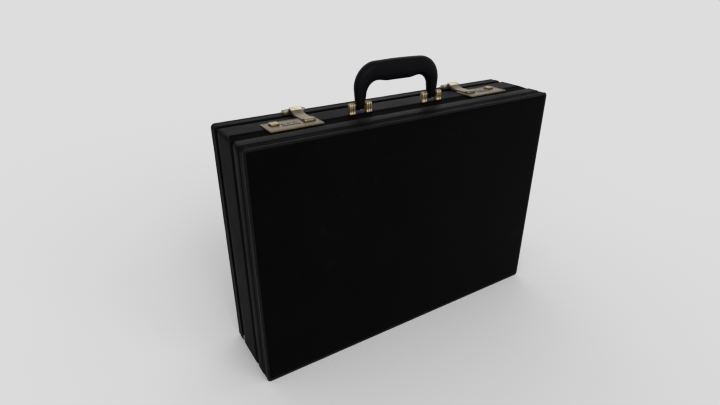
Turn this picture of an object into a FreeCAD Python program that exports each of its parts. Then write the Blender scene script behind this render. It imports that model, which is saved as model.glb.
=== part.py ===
import FreeCAD, Part
import math
import os

V = FreeCAD.Vector

# A hard-sided leather attache case that stands on its hinge side. Millimetres.
# +X runs along the case, +Y is the lid side, +Z is up, and z = 0 is the floor.

# Overall size
LENGTH = 450.0
HEIGHT = 310.0
BASE_DEPTH = 86.0
LID_DEPTH = 20.0
CORNER_R = 5.0
EDGE_ROLL_R = 3.0

# Wall build-up, from the outside in
LEATHER = 1.2
BOARD = 8.0
PANEL = 3.0
LINING = 0.8

# Parting line
GROOVE_HALF = 4.0
GROOVE_DEPTH = 3.0
RIM_WIDTH = 4.8
RIM_GAP = 0.2
TONGUE_T = 1.2
TONGUE_REACH = 2.0
TONGUE_CLEAR = 0.3

# Piano hinge
HINGE_Z = 2.4
KNUCKLE_R = 2.0
HINGE_PIN_R = 1.0
KNUCKLE_LENGTH = 12.0
KNUCKLE_GAP = 0.2
LEAF_T = 1.0
LEAF_TOP_MARGIN = 0.4
HINGE_END = 12.0
MOUTH_CLEAR = 0.5
HINGE_SCREWS = 9
HINGE_SCREW_R = 0.9
HINGE_SCREW_HEAD_R = 1.4
HINGE_SCREW_HEAD_T = 0.6
HINGE_SCREW_LENGTH = 9.0

# Lid stays
LID_OPEN_DEG = 95.0
STAY_RISE = 40.0
STAY_OFFSET = 10.0
STAY_T = 1.6
STAY_HALF = 4.2
STAY_PIN_R = 1.8
STAY_HEAD_R = 3.6
STAY_HEAD_T = 1.0
STAY_WALL_GAP = 1.6
STAY_SLOT_CLEAR = 0.3

# Handle
HANDLE_HALF = 63.0
HANDLE_TOP = 60.0
HANDLE_LEG = 15.0
HANDLE_FOOT = 11.9
HANDLE_FOOT_TOP = 15.0
HANDLE_THICK = 16.0
HANDLE_OUTER_R = 30.0
HANDLE_INNER_R = 16.0
GRIP_UNDER = 37.0
GRIP_BELLY = 2.0
HANDLE_ROUND = 4.0
HANDLE_EYE_R = 6.0
CORE_INSET = 4.2
CORE_THICK = 7.0
POST_WIDTH = 8.0
POST_R = 3.2
POST_RIBS = 3
POST_RIB_DEPTH = 0.4
POST_SIDE_CLEAR = 2.0
HANDLE_PIN_Z = 9.8
HANDLE_PIN_R = 1.5
POST_SCREW_R = 1.6
POST_SCREW_GRIP = 4.0
POST_SCREW_HEAD_R = 3.4
POST_SCREW_HEAD_T = 2.2

# Combination locks, placed by the middle of the lock plate
LOCK_X = 147.0
LOCK_Y = -1.5
PLATE_LENGTH = 66.0
PLATE_WIDTH = 31.0
PLATE_RISE = 1.5
PLATE_SKIN = 1.0
PLATE_SKIRT = 1.2
PLATE_CORNER_R = 1.2
HOUSING_LENGTH = 62.0
HOUSING_WIDTH = 26.0
HOUSING_UNDER = 1.0
HOUSING_WALL = 1.0
LOCK_FIT = 0.2
DIAL_R = 8.0
DIAL_WIDTH = 5.2
DIAL_PITCH = 7.5
DIALS_OFFSET = 2.0
DIAL_PROUD = 1.0
DIAL_AXLE_R = 1.5
DIALS = 3
WINDOW_CLEAR = 0.35
BULKHEAD_T = 1.2

# Slide button, on the outer side of the dials
BUTTON_FROM_END = 8.3
BUTTON_LENGTH = 10.0
BUTTON_Y = 4.5
BUTTON_WIDTH = 11.0
BUTTON_RISE = 2.8
BUTTON_ROUND = 0.7
BUTTON_NECK = 5.0
BUTTON_NECK_WIDTH = 6.0
BUTTON_TRAVEL = 4.0
BUTTON_FOOT_WIDTH = 9.0
BUTTON_FOOT_T = 1.6
SLIDE_CLEAR = 0.2

# Hasp, on the handle side of the dials
HASP_FROM_END = 11.5
HASP_WIDTH = 14.0
HASP_T = 1.3
HASP_PIN_Y = -1.5
HASP_PIN_RISE = 0.4
HASP_KNUCKLE_R = 3.2
HASP_CHEEK = 2.0
HASP_PIN_R = 1.0
HASP_ARM_CLEAR = 0.3
HASP_CREST = 8.6
HASP_FLAT_FROM = 7.5
HASP_RISE_BACK = 13.5
HASP_CREST_BACK = 1.3
HASP_TIP_OVER = 2.2
HASP_TIP_BULGE = 0.3
HASP_FLANGE_BACK = 6.5
HASP_FLANGE_CLEAR = 0.6
LUG_T = 1.4
LUG_EYE_R = 1.9
LUG_HALF = 0.9
LUG_CLEAR = 0.35

# Catch on the lid
CATCH_WIDTH = 28.0
CATCH_NEAR = 0.3
CATCH_DEPTH = 8.2
CATCH_RISE = 5.0
CATCH_ROUND = 1.2
CATCH_FLANGE = 3.6
CATCH_FLANGE_T = 1.0
CATCH_MOUTH = 16.0
CATCH_MOUTH_DEPTH = 3.6
RIVET_R = 1.0
RIVET_HEAD_R = 1.6
RIVET_HEAD_T = 0.7

# Lid organiser
POCKET_SIDE = 45.0
POCKET_LOW = 45.0
POCKET_DROP = 48.0
POCKET_T = 6.0
PEN_STRIP_HALF = 62.0
PEN_STRIP_GAP = 8.0
PEN_STRIP_HEIGHT = 16.0
PEN_STRIP_T = 4.0

RUNNING = 0.05

DEPTH = BASE_DEPTH + LID_DEPTH
X_END = LENGTH / 2
Y_NEAR = -DEPTH / 2
Y_FAR = DEPTH / 2
Y_PART = Y_FAR - LID_DEPTH
WALL = LEATHER + BOARD
FACE = LEATHER + PANEL
BASE_MOUTH = Y_PART - RIM_GAP - RIM_WIDTH
LID_MOUTH = Y_PART + RIM_GAP + RIM_WIDTH
HINGE_SET = KNUCKLE_R + MOUTH_CLEAR
HINGE_AXIS_TOP = HINGE_Z + KNUCKLE_R + LEAF_TOP_MARGIN
PLATE_TOP = HEIGHT + PLATE_RISE
HASP_X = LOCK_X - PLATE_LENGTH / 2 + HASP_FROM_END
DIALS_X = LOCK_X + DIALS_OFFSET
HASP_PIN_Z = PLATE_TOP + HASP_PIN_RISE
DIAL_Z = PLATE_TOP + DIAL_PROUD - DIAL_R
HOUSING_BASE = DIAL_Z - DIAL_R - HOUSING_UNDER - HOUSING_WALL
PIN_Z = HEIGHT + HANDLE_PIN_Z
LEG_X = HANDLE_HALF - HANDLE_LEG / 2
POST_STEP = (HANDLE_FOOT + POST_WIDTH) / 2 + POST_SIDE_CLEAR
POCKET_HALF = X_END - POCKET_SIDE
POCKET_HIGH = HEIGHT - POCKET_DROP


def box(x0, x1, y0, y1, z0, z1):
    return Part.makeBox(x1 - x0, y1 - y0, z1 - z0, V(x0, y0, z0))


def rod_x(x0, x1, y, z, r):
    return Part.makeCylinder(r, x1 - x0, V(x0, y, z), V(1, 0, 0))


def rod_y(x, y0, y1, z, r):
    return Part.makeCylinder(r, y1 - y0, V(x, y0, z), V(0, 1, 0))


def rod_z(x, y, z0, z1, r):
    return Part.makeCylinder(r, z1 - z0, V(x, y, z0), V(0, 0, 1))


def joined(shapes):
    first, rest = shapes[0], shapes[1:]
    return first.multiFuse(rest).removeSplitter() if rest else first


def mirrored(shape):
    return shape.mirror(V(0, 0, 0), V(1, 0, 0))


def edges_along(shape, axis):
    """The straight edges of a shape that run along a unit vector."""
    found = []
    for edge in shape.Edges:
        if isinstance(edge.Curve, Part.Line):
            if abs(abs(edge.Curve.Direction.dot(axis)) - 1) < 1e-6:
                found.append(edge)
    return found


def edges_at_y(shape, y):
    """The edges of a shape that lie wholly in the plane y."""
    return [e for e in shape.Edges if abs(e.BoundBox.YMin - y) < 1e-6 and abs(e.BoundBox.YMax - y) < 1e-6]


def block(face_y, mouth_y, inset):
    """One half of the case as a solid, inset from its outer skin, with its rolled edges."""
    toward_mouth = 1 if mouth_y > face_y else -1
    y0 = face_y + toward_mouth * inset
    low, high = min(y0, mouth_y), max(y0, mouth_y)
    solid = box(-X_END + inset, X_END - inset, low, high, inset, HEIGHT - inset)
    solid = solid.makeFillet(CORNER_R - inset, edges_along(solid, V(0, 1, 0)))
    return solid.makeFillet(EDGE_ROLL_R - inset, edges_at_y(solid, y0))


def span(y0, y1, w=0.0, z0=None, z1=None):
    """A slab across the case between two depths, w in from the ends."""
    low = w if z0 is None else z0
    high = HEIGHT - w if z1 is None else z1
    return box(-X_END + w, X_END - w, min(y0, y1), max(y0, y1), low, high)


def leather_parts(face_y, mouth_y, edge_y, toward_mouth):
    """The cover of one half: face panel, rolled welt, band over top and ends, bottom strip."""
    skin = block(face_y, edge_y, 0).cut(block(face_y, edge_y, LEATHER))
    lip_outer = span(mouth_y, edge_y, LEATHER)
    lip_inner = span(mouth_y, edge_y, GROOVE_DEPTH)
    lip = lip_outer.cut(lip_inner).common(span(mouth_y, edge_y, LEATHER, WALL, HEIGHT))
    roll_y = face_y + toward_mouth * EDGE_ROLL_R
    face_zone = span(face_y, roll_y, EDGE_ROLL_R)
    panel = skin.common(face_zone)
    welt = skin.common(span(face_y, roll_y)).cut(face_zone)
    rest = skin.common(span(roll_y, edge_y))
    band = joined([rest.common(span(roll_y, edge_y, 0, CORNER_R, HEIGHT)), lip])
    bottom = rest.common(span(roll_y, edge_y, 0, 0, CORNER_R)).cut(lip)
    return panel, welt, band, bottom


def board_parts(face_y, mouth_y, hinge_y, toward_mouth):
    """The panel and the four wooden walls of one half."""
    body = block(face_y, hinge_y, LEATHER)
    back_y = face_y + toward_mouth * FACE
    panel = body.common(span(face_y, back_y))
    walls = body.cut(span(face_y, back_y))
    top = walls.common(span(back_y, mouth_y, 0, HEIGHT - WALL, HEIGHT))
    bottom = walls.common(span(back_y, hinge_y, 0, 0, WALL))
    sides = walls.common(span(back_y, mouth_y, 0, WALL, HEIGHT - WALL))
    left = sides.common(box(-X_END, -X_END + WALL, Y_NEAR, Y_FAR, 0, HEIGHT))
    right = sides.common(box(X_END - WALL, X_END, Y_NEAR, Y_FAR, 0, HEIGHT))
    return panel, top, bottom, left, right


def frame_strip(y0, y1, outer, inner, z0):
    """A three-sided strip of the mouth between two insets, standing on z0."""
    return span(y0, y1, outer, z0).cut(span(y0, y1, inner, 0))


def rims():
    """The metal rims that close the mouth, tongue on the lid and groove in the base."""
    mid = (GROOVE_DEPTH + WALL) / 2
    tongue_in = mid + TONGUE_T / 2
    tongue_out = mid - TONGUE_T / 2
    base = span(BASE_MOUTH, Y_PART - RIM_GAP, GROOVE_DEPTH, WALL)
    base = base.cut(span(BASE_MOUTH, Y_PART, WALL, 0))
    slot_floor = Y_PART - TONGUE_REACH - TONGUE_CLEAR
    slot = frame_strip(slot_floor, Y_PART, tongue_out - TONGUE_CLEAR, tongue_in + TONGUE_CLEAR, 0)
    base = base.cut(slot)
    lid = span(Y_PART + RIM_GAP, LID_MOUTH, GROOVE_DEPTH, WALL)
    lid = lid.cut(span(Y_PART, LID_MOUTH, WALL, 0))
    tongue = frame_strip(Y_PART - TONGUE_REACH, Y_PART + RIM_GAP + RIM_WIDTH / 2, tongue_out, tongue_in,
                         WALL + TONGUE_CLEAR)
    return base, joined([lid, tongue])


def lining(face_y, mouth_y, toward_mouth):
    """The cloth lining of one half, a thin open tray."""
    back_y = face_y + toward_mouth * FACE
    outer = span(back_y, mouth_y, WALL)
    inner = span(back_y + toward_mouth * LINING, mouth_y, WALL + LINING)
    return outer.cut(inner)


def hinge_screws(side):
    """Small screws through one hinge leaf; side is -1 for the base and 1 for the lid."""
    z = (HINGE_AXIS_TOP + WALL) / 2
    reach = X_END - HINGE_END - KNUCKLE_LENGTH
    screws = []
    for i in range(HINGE_SCREWS):
        x = -reach + 2 * reach * i / (HINGE_SCREWS - 1)
        inner = Y_PART + side * (HINGE_SET - LEAF_T)
        under_head = inner + side * HINGE_SCREW_HEAD_T
        tip = inner + side * HINGE_SCREW_LENGTH
        head = rod_y(x, min(inner, under_head), max(inner, under_head), z, HINGE_SCREW_HEAD_R)
        shank = rod_y(x, min(under_head, tip), max(under_head, tip), z, HINGE_SCREW_R)
        screws.append(joined([head, shank]))
    return screws


def hinge_leaf(side):
    """A leaf with its knuckles; the base has the first and last knuckles."""
    reach = X_END - HINGE_END
    count = 2 * int(reach / KNUCKLE_LENGTH) - 1
    step = 2 * reach / count
    y_in = Y_PART + side * (HINGE_SET - LEAF_T)
    y_out = Y_PART + side * HINGE_SET
    y0, y1 = min(y_in, y_out), max(y_in, y_out)
    parts = [box(-reach, reach, y0, y1, HINGE_AXIS_TOP, WALL)]
    first = 0 if side < 0 else 1
    for i in range(first, count, 2):
        x0 = -reach + i * step + KNUCKLE_GAP / 2
        x1 = x0 + step - KNUCKLE_GAP
        parts.append(box(x0, x1, y0, y1, HINGE_Z, HINGE_AXIS_TOP))
        parts.append(rod_x(x0, x1, Y_PART, HINGE_Z, KNUCKLE_R))
    bore = HINGE_PIN_R + (RUNNING if side > 0 else 0)
    leaf = joined(parts).cut(rod_x(-X_END, X_END, Y_PART, HINGE_Z, bore))
    return leaf.cut(Part.makeCompound(hinge_screws(side)))


def stay_geometry():
    """Pivot places, the slot's ends and the height of the lid stays."""
    radius = math.hypot(STAY_RISE, STAY_OFFSET)
    rest = 2 * math.atan2(STAY_OFFSET, STAY_RISE)
    closed = 2 * STAY_OFFSET
    opened = 2 * radius * math.sin((rest + math.radians(LID_OPEN_DEG)) / 2)
    z = HINGE_Z + STAY_RISE
    return Y_PART - STAY_OFFSET, Y_PART + STAY_OFFSET, z, closed, opened


def stay_arm(side):
    """The slotted arm, pivoted on the lid and guided by the base's pin."""
    guide_y, pivot_y, z, closed, opened = stay_geometry()
    inner = X_END - WALL - LINING - STAY_WALL_GAP - STAY_T
    slot_r = STAY_PIN_R + STAY_SLOT_CLEAR
    far_y = pivot_y - opened
    near_y = pivot_y - closed
    x0, x1 = inner, inner + STAY_T
    arm = joined([rod_x(x0, x1, pivot_y, z, STAY_HALF),
                  box(x0, x1, far_y, pivot_y, z - STAY_HALF, z + STAY_HALF),
                  rod_x(x0, x1, far_y, z, STAY_HALF)])
    slot = joined([rod_x(x0, x1, near_y, z, slot_r),
                   box(x0, x1, far_y, near_y, z - slot_r, z + slot_r),
                   rod_x(x0, x1, far_y, z, slot_r)])
    arm = arm.cut(slot).cut(rod_x(x0, x1, pivot_y, z, STAY_PIN_R + RUNNING))
    return arm if side > 0 else mirrored(arm)


def stay_stud(y):
    """A headed stud in the right wall, with a collar that keeps the arm off the lining."""
    z = stay_geometry()[2]
    wall = X_END - WALL
    collar = wall - LINING - STAY_WALL_GAP + SLIDE_CLEAR
    head = wall - LINING - STAY_WALL_GAP - STAY_T - SLIDE_CLEAR
    return joined([rod_x(collar, wall, y, z, STAY_HEAD_R),
                   rod_x(head, wall + BOARD / 2, y, z, STAY_PIN_R),
                   rod_x(head - STAY_HEAD_T, head, y, z, STAY_HEAD_R)])


def stud_pair(y):
    stud = stay_stud(y)
    return [stud, mirrored(stud)]


def arc(a, middle, b):
    return Part.Arc(a, middle, b).toShape()


def line(a, b):
    return Part.LineSegment(a, b).toShape()


def quarter(cx, cz, r, start_deg, end_deg):
    """An arc about (cx, cz) in the XZ plane."""
    points = []
    for deg in (start_deg, (start_deg + end_deg) / 2, end_deg):
        t = math.radians(deg)
        points.append(V(cx + r * math.cos(t), 0, cz + r * math.sin(t)))
    return arc(*points)


def handle_outline(inset):
    """The arch of the handle in the XZ plane, inset all round."""
    out = HANDLE_HALF - inset
    top = HEIGHT + HANDLE_TOP - inset
    leg_in = HANDLE_HALF - HANDLE_LEG + inset
    foot_out = LEG_X + HANDLE_FOOT / 2 - inset
    foot_in = LEG_X - HANDLE_FOOT / 2 + inset
    foot_z = PIN_Z - HANDLE_EYE_R
    shoulder = HEIGHT + HANDLE_FOOT_TOP
    under = HEIGHT + GRIP_UNDER + inset
    r_out = HANDLE_OUTER_R - inset
    r_in = HANDLE_INNER_R + inset
    crown = out - r_out
    armpit = leg_in - r_in
    edges = [line(V(foot_out, 0, foot_z), V(foot_out, 0, shoulder)),
             line(V(foot_out, 0, shoulder), V(out, 0, shoulder + HANDLE_LEG - HANDLE_FOOT)),
             line(V(out, 0, shoulder + HANDLE_LEG - HANDLE_FOOT), V(out, 0, top - r_out)),
             quarter(crown, top - r_out, r_out, 0, 90),
             line(V(crown, 0, top), V(-crown, 0, top)),
             quarter(-crown, top - r_out, r_out, 90, 180),
             line(V(-out, 0, top - r_out), V(-out, 0, shoulder + HANDLE_LEG - HANDLE_FOOT)),
             line(V(-out, 0, shoulder + HANDLE_LEG - HANDLE_FOOT), V(-foot_out, 0, shoulder)),
             line(V(-foot_out, 0, shoulder), V(-foot_out, 0, foot_z)),
             line(V(-foot_out, 0, foot_z), V(-foot_in, 0, foot_z)),
             line(V(-foot_in, 0, foot_z), V(-foot_in, 0, shoulder)),
             line(V(-foot_in, 0, shoulder), V(-leg_in, 0, under - r_in)),
             quarter(-armpit, under - r_in, r_in, 180, 90),
             arc(V(-armpit, 0, under), V(0, 0, under - GRIP_BELLY), V(armpit, 0, under)),
             quarter(armpit, under - r_in, r_in, 90, 0),
             line(V(leg_in, 0, under - r_in), V(foot_in, 0, shoulder)),
             line(V(foot_in, 0, shoulder), V(foot_in, 0, foot_z)),
             line(V(foot_in, 0, foot_z), V(foot_out, 0, foot_z))]
    return Part.Wire(edges)


def handle_arch(inset, thick):
    face = Part.Face(handle_outline(inset))
    face.translate(V(0, -thick / 2, 0))
    return face.extrude(V(0, thick, 0))


def handle_side(eye_r, thick):
    """The handle seen from its end: a round eye that widens into the grip."""
    z_full = HEIGHT + HANDLE_FOOT_TOP + HANDLE_LEG
    top = HEIGHT + HANDLE_TOP
    half = thick / 2
    points = [V(0, -eye_r, PIN_Z), V(0, -half, z_full), V(0, -half, top),
              V(0, half, top), V(0, half, z_full), V(0, eye_r, PIN_Z), V(0, -eye_r, PIN_Z)]
    prism = Part.Face(Part.makePolygon(points)).extrude(V(2 * HANDLE_HALF, 0, 0))
    prism.translate(V(-HANDLE_HALF, 0, 0))
    return joined([prism, rod_x(-HANDLE_HALF, HANDLE_HALF, 0, PIN_Z, eye_r)])


def handle_core():
    """The steel strap inside the grip."""
    core = handle_arch(CORE_INSET, CORE_THICK)
    return core.cut(rod_x(-HANDLE_HALF, HANDLE_HALF, 0, PIN_Z, HANDLE_PIN_R + RUNNING))


def handle_grip():
    """The padded leather grip around the strap."""
    arch = handle_arch(0, HANDLE_THICK)
    arch = arch.makeFillet(HANDLE_ROUND, crown_edges(arch))
    arch = arch.common(handle_side(HANDLE_EYE_R, HANDLE_THICK))
    arch = arch.cut(handle_arch(CORE_INSET, CORE_THICK))
    return arch.cut(rod_x(-HANDLE_HALF, HANDLE_HALF, 0, PIN_Z, HANDLE_PIN_R + RUNNING))


def crown_edges(shape):
    """The outer edges of the arch's front and back faces, above its feet."""
    shoulder = HEIGHT + HANDLE_FOOT_TOP
    found = []
    for edge in shape.Edges:
        bounds = edge.BoundBox
        flat = bounds.YLength < 1e-6 and bounds.ZMin > shoulder + 1
        outer = bounds.ZMax > HEIGHT + HANDLE_TOP - 1 or max(-bounds.XMin, bounds.XMax) > HANDLE_HALF - 1
        if flat and outer:
            found.append(edge)
    return found


def post_screw(x):
    """A screw from inside the top wall up into a post."""
    inside = HEIGHT - WALL
    return joined([rod_z(x, 0, inside, inside + POST_SCREW_HEAD_T, POST_SCREW_HEAD_R),
                   rod_z(x, 0, inside, HEIGHT + POST_SCREW_GRIP, POST_SCREW_R)])


def post_places():
    return [s * (LEG_X + t * POST_STEP) for s in (-1, 1) for t in (-1, 1)]


def handle_post(x):
    """A ribbed post with a round top that holds one end of a handle pin."""
    x0, x1 = x - POST_WIDTH / 2, x + POST_WIDTH / 2
    post = joined([box(x0, x1, -POST_R, POST_R, HEIGHT, PIN_Z), rod_x(x0, x1, 0, PIN_Z, POST_R)])
    inner_r = POST_R - POST_RIB_DEPTH
    rib = POST_WIDTH / (2 * POST_RIBS + 1)
    for i in range(POST_RIBS):
        g0 = x0 + rib * (2 * i + 1)
        g1 = g0 + rib
        keep = joined([box(g0, g1, -inner_r, inner_r, HEIGHT, PIN_Z), rod_x(g0, g1, 0, PIN_Z, inner_r)])
        ring = box(g0, g1, -POST_R, POST_R, HEIGHT, PIN_Z + POST_R)
        post = post.cut(ring.cut(keep))
    return post.cut(handle_pin(math.copysign(LEG_X, x))).cut(post_screw(x))


def handle_pin(x):
    """The pin through one leg, ending half way into each post."""
    reach = POST_STEP
    return rod_x(x - reach, x + reach, 0, PIN_Z, HANDLE_PIN_R)


def housing_hole(z0, z1):
    """The cut-outs that the two lock housings pass through."""
    half_l = HOUSING_LENGTH / 2 + LOCK_FIT
    half_w = HOUSING_WIDTH / 2 + LOCK_FIT
    hole = box(LOCK_X - half_l, LOCK_X + half_l, LOCK_Y - half_w, LOCK_Y + half_w, z0, z1)
    return Part.makeCompound([hole, mirrored(hole)])


def lock_housing():
    """The lock case under the plate, with bulkheads for the axle and lugs for the hasp pin."""
    half_l = HOUSING_LENGTH / 2
    half_w = HOUSING_WIDTH / 2
    floor = HOUSING_BASE
    top = PLATE_TOP - PLATE_SKIN
    wall = HOUSING_WALL
    y0, y1 = LOCK_Y - half_w, LOCK_Y + half_w
    case = box(LOCK_X - half_l, LOCK_X + half_l, y0, y1, floor, top)
    case = case.cut(box(LOCK_X - half_l + wall, LOCK_X + half_l - wall, y0 + wall, y1 - wall,
                        floor + wall, top))
    parts = [case]
    for s in (-1, 1):
        x = DIALS_X + s * axle_half()
        x0, x1 = min(x, x - s * BULKHEAD_T), max(x, x - s * BULKHEAD_T)
        parts.append(box(x0, x1, y0 + wall, y1 - wall, floor + wall, DIAL_Z + 2 * DIAL_AXLE_R))
        lug = HASP_X + s * (lug_inner() + LUG_T / 2)
        l0, l1 = lug - LUG_T / 2, lug + LUG_T / 2
        parts.append(box(l0, l1, HASP_PIN_Y - LUG_HALF, HASP_PIN_Y + LUG_HALF, floor + wall, HASP_PIN_Z))
        parts.append(rod_x(l0, l1, HASP_PIN_Y, HASP_PIN_Z, LUG_EYE_R))
    return joined(parts).cut(dial_axle()).cut(hasp_pin())


def axle_half():
    return DIALS * DIAL_PITCH / 2 + BULKHEAD_T


def lug_inner():
    return HASP_WIDTH / 2 - HASP_CHEEK - LUG_CLEAR - LUG_T


def dial_axle():
    return rod_x(DIALS_X - axle_half(), DIALS_X + axle_half(), LOCK_Y, DIAL_Z, DIAL_AXLE_R)


def dial_place(i):
    return DIALS_X + (i - (DIALS - 1) / 2) * DIAL_PITCH


def dial(i):
    x = dial_place(i)
    wheel = rod_x(x - DIAL_WIDTH / 2, x + DIAL_WIDTH / 2, LOCK_Y, DIAL_Z, DIAL_R)
    return wheel.cut(rod_x(x - DIAL_WIDTH, x + DIAL_WIDTH, LOCK_Y, DIAL_Z, DIAL_AXLE_R + RUNNING))


def button_span():
    """The slide button's ends along X when it is at rest."""
    outer = LOCK_X + PLATE_LENGTH / 2 - BUTTON_FROM_END
    return outer - BUTTON_LENGTH, outer


def slide_button():
    """The thumb pad, its neck through the plate and its foot under it."""
    x0, x1 = button_span()
    mid = (x0 + x1) / 2
    y0, y1 = BUTTON_Y - BUTTON_WIDTH / 2, BUTTON_Y + BUTTON_WIDTH / 2
    pad = box(x0, x1, y0, y1, PLATE_TOP + SLIDE_CLEAR, PLATE_TOP + BUTTON_RISE)
    pad = pad.makeFillet(BUTTON_ROUND, edges_along(pad, V(0, 1, 0)))
    foot_top = PLATE_TOP - PLATE_SKIN - SLIDE_CLEAR
    neck = box(mid - BUTTON_NECK / 2, mid + BUTTON_NECK / 2, BUTTON_Y - BUTTON_NECK_WIDTH / 2,
               BUTTON_Y + BUTTON_NECK_WIDTH / 2, foot_top - BUTTON_FOOT_T, PLATE_TOP + BUTTON_RISE / 2)
    foot = box(x0, x1, BUTTON_Y - BUTTON_FOOT_WIDTH / 2, BUTTON_Y + BUTTON_FOOT_WIDTH / 2,
               foot_top - BUTTON_FOOT_T, foot_top)
    return joined([pad, neck, foot])


def button_slot():
    x0, x1 = button_span()
    mid = (x0 + x1) / 2
    half_y = BUTTON_NECK_WIDTH / 2 + SLIDE_CLEAR
    return box(mid - BUTTON_NECK / 2 - SLIDE_CLEAR, mid + BUTTON_NECK / 2 + BUTTON_TRAVEL + SLIDE_CLEAR,
               BUTTON_Y - half_y, BUTTON_Y + half_y, HEIGHT, PLATE_TOP)


def lock_plate():
    """The pressed plate, a shallow pan with windows for the dials, button and hasp."""
    half_l, half_w = PLATE_LENGTH / 2, PLATE_WIDTH / 2
    plate = box(LOCK_X - half_l, LOCK_X + half_l, LOCK_Y - half_w, LOCK_Y + half_w, HEIGHT, PLATE_TOP)
    plate = plate.makeFillet(PLATE_CORNER_R, edges_along(plate, V(0, 0, 1)))
    pan_l, pan_w = half_l - PLATE_SKIRT, half_w - PLATE_SKIRT
    plate = plate.cut(box(LOCK_X - pan_l, LOCK_X + pan_l, LOCK_Y - pan_w, LOCK_Y + pan_w,
                          HEIGHT, PLATE_TOP - PLATE_SKIN))
    chord = math.sqrt(DIAL_R ** 2 - (DIAL_R - DIAL_PROUD - PLATE_SKIN) ** 2) + WINDOW_CLEAR
    for i in range(DIALS):
        half = DIAL_WIDTH / 2 + WINDOW_CLEAR
        plate = plate.cut(box(dial_place(i) - half, dial_place(i) + half, LOCK_Y - chord, LOCK_Y + chord,
                              HEIGHT, PLATE_TOP))
    reach = HASP_KNUCKLE_R + LUG_CLEAR
    side = HASP_WIDTH / 2 + LUG_CLEAR
    well = box(HASP_X - side, HASP_X + side, HASP_PIN_Y - reach, HASP_PIN_Y + reach, HEIGHT, PLATE_TOP)
    return plate.cut(well).cut(button_slot())


def hasp_section():
    """The hasp's strap seen from its end: knuckle, flat arm, rising crest and curled tip."""
    flat = PLATE_TOP + HASP_ARM_CLEAR
    crest = HEIGHT + HASP_CREST
    catch_top = HEIGHT + CATCH_RISE
    near = catch_near()
    y_flat = HASP_PIN_Y + HASP_FLAT_FROM
    y_rise = near - HASP_RISE_BACK
    y_crest = near - HASP_CREST_BACK
    y_tip = near + HASP_TIP_OVER
    tip = catch_top + HASP_ARM_CLEAR
    t = HASP_T
    knuckle_top = HASP_PIN_Z + HASP_KNUCKLE_R
    top = [V(0, HASP_PIN_Y, knuckle_top), V(0, y_flat, flat + t), V(0, y_rise, flat + t),
           V(0, y_crest, crest), V(0, y_tip, tip + t)]
    y_mid = (y_rise + y_crest) / 2
    slope_mid = V(0, y_mid + t, (flat + crest - t) / 2)
    tip_mid = V(0, y_tip - HASP_TIP_BULGE, crest - t)
    under_mid = V(0, y_mid + 2 * t, (flat + crest - t) / 2 - t)
    edges = [line(top[0], top[1]), line(top[1], top[2]), arc(top[2], slope_mid, top[3]),
             arc(top[3], tip_mid, V(0, y_tip, tip)),
             line(V(0, y_tip, tip), V(0, y_tip - t, tip)),
             line(V(0, y_tip - t, tip), V(0, y_crest + t, crest - t)),
             line(V(0, y_crest + t, crest - t), V(0, y_crest, crest - t)),
             arc(V(0, y_crest, crest - t), under_mid, V(0, y_rise + t, flat)),
             line(V(0, y_rise + t, flat), V(0, HASP_PIN_Y, flat)),
             line(V(0, HASP_PIN_Y, flat), top[0])]
    return Part.Face(Part.Wire(edges))


def hasp_flange(x0, x1):
    """A side wall under the strap, over the groove between plate and catch."""
    near = LOCK_Y + PLATE_WIDTH / 2 + HASP_FLANGE_CLEAR
    far = Y_PART + GROOVE_HALF - HASP_FLANGE_CLEAR
    low = HEIGHT + HASP_FLANGE_CLEAR
    high = PLATE_TOP + HASP_ARM_CLEAR + HASP_T / 2
    rise = far - HASP_FLANGE_BACK
    points = [V(x0, near, high), V(x0, near + high - low, low), V(x0, rise, low), V(x0, far, high),
              V(x0, near, high)]
    return Part.Face(Part.makePolygon(points)).extrude(V(x1 - x0, 0, 0))


def hasp():
    """The hinged hasp: cheeks on the pin, a strap over the groove and two side flanges."""
    x0, x1 = HASP_X - HASP_WIDTH / 2, HASP_X + HASP_WIDTH / 2
    strap = hasp_section()
    strap.translate(V(x0, 0, 0))
    parts = [strap.extrude(V(HASP_WIDTH, 0, 0)), rod_x(x0, x1, HASP_PIN_Y, HASP_PIN_Z, HASP_KNUCKLE_R)]
    parts += [hasp_flange(x0, x0 + HASP_T), hasp_flange(x1 - HASP_T, x1)]
    body = joined(parts)
    inner = lug_inner() + LUG_T + LUG_CLEAR
    eye = LUG_EYE_R + LUG_CLEAR
    well = joined([rod_x(HASP_X - inner, HASP_X + inner, HASP_PIN_Y, HASP_PIN_Z, eye),
                   box(HASP_X - inner, HASP_X + inner, HASP_PIN_Y - HASP_KNUCKLE_R,
                       HASP_PIN_Y + HASP_KNUCKLE_R, HASP_PIN_Z - HASP_KNUCKLE_R,
                       PLATE_TOP + HASP_ARM_CLEAR)])
    bore = rod_x(x0, x1, HASP_PIN_Y, HASP_PIN_Z, HASP_PIN_R + RUNNING)
    return body.cut(well).cut(bore)


def hasp_pin():
    half = HASP_WIDTH / 2
    return rod_x(HASP_X - half, HASP_X + half, HASP_PIN_Y, HASP_PIN_Z, HASP_PIN_R)


def hasp_spring():
    """The torsion spring's coil on the pin between the lugs, with its fixed leg."""
    half = lug_inner()
    coil = rod_x(HASP_X - half, HASP_X + half, HASP_PIN_Y, HASP_PIN_Z, LUG_EYE_R - RUNNING)
    coil = coil.cut(rod_x(HASP_X - half, HASP_X + half, HASP_PIN_Y, HASP_PIN_Z, HASP_PIN_R))
    leg_r = LUG_HALF / 2
    floor = HOUSING_BASE + HOUSING_WALL
    leg = rod_z(HASP_X, HASP_PIN_Y, floor, HASP_PIN_Z - HASP_PIN_R, leg_r)
    return joined([coil, leg.cut(rod_x(HASP_X - half, HASP_X + half, HASP_PIN_Y, HASP_PIN_Z, HASP_PIN_R))])


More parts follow.
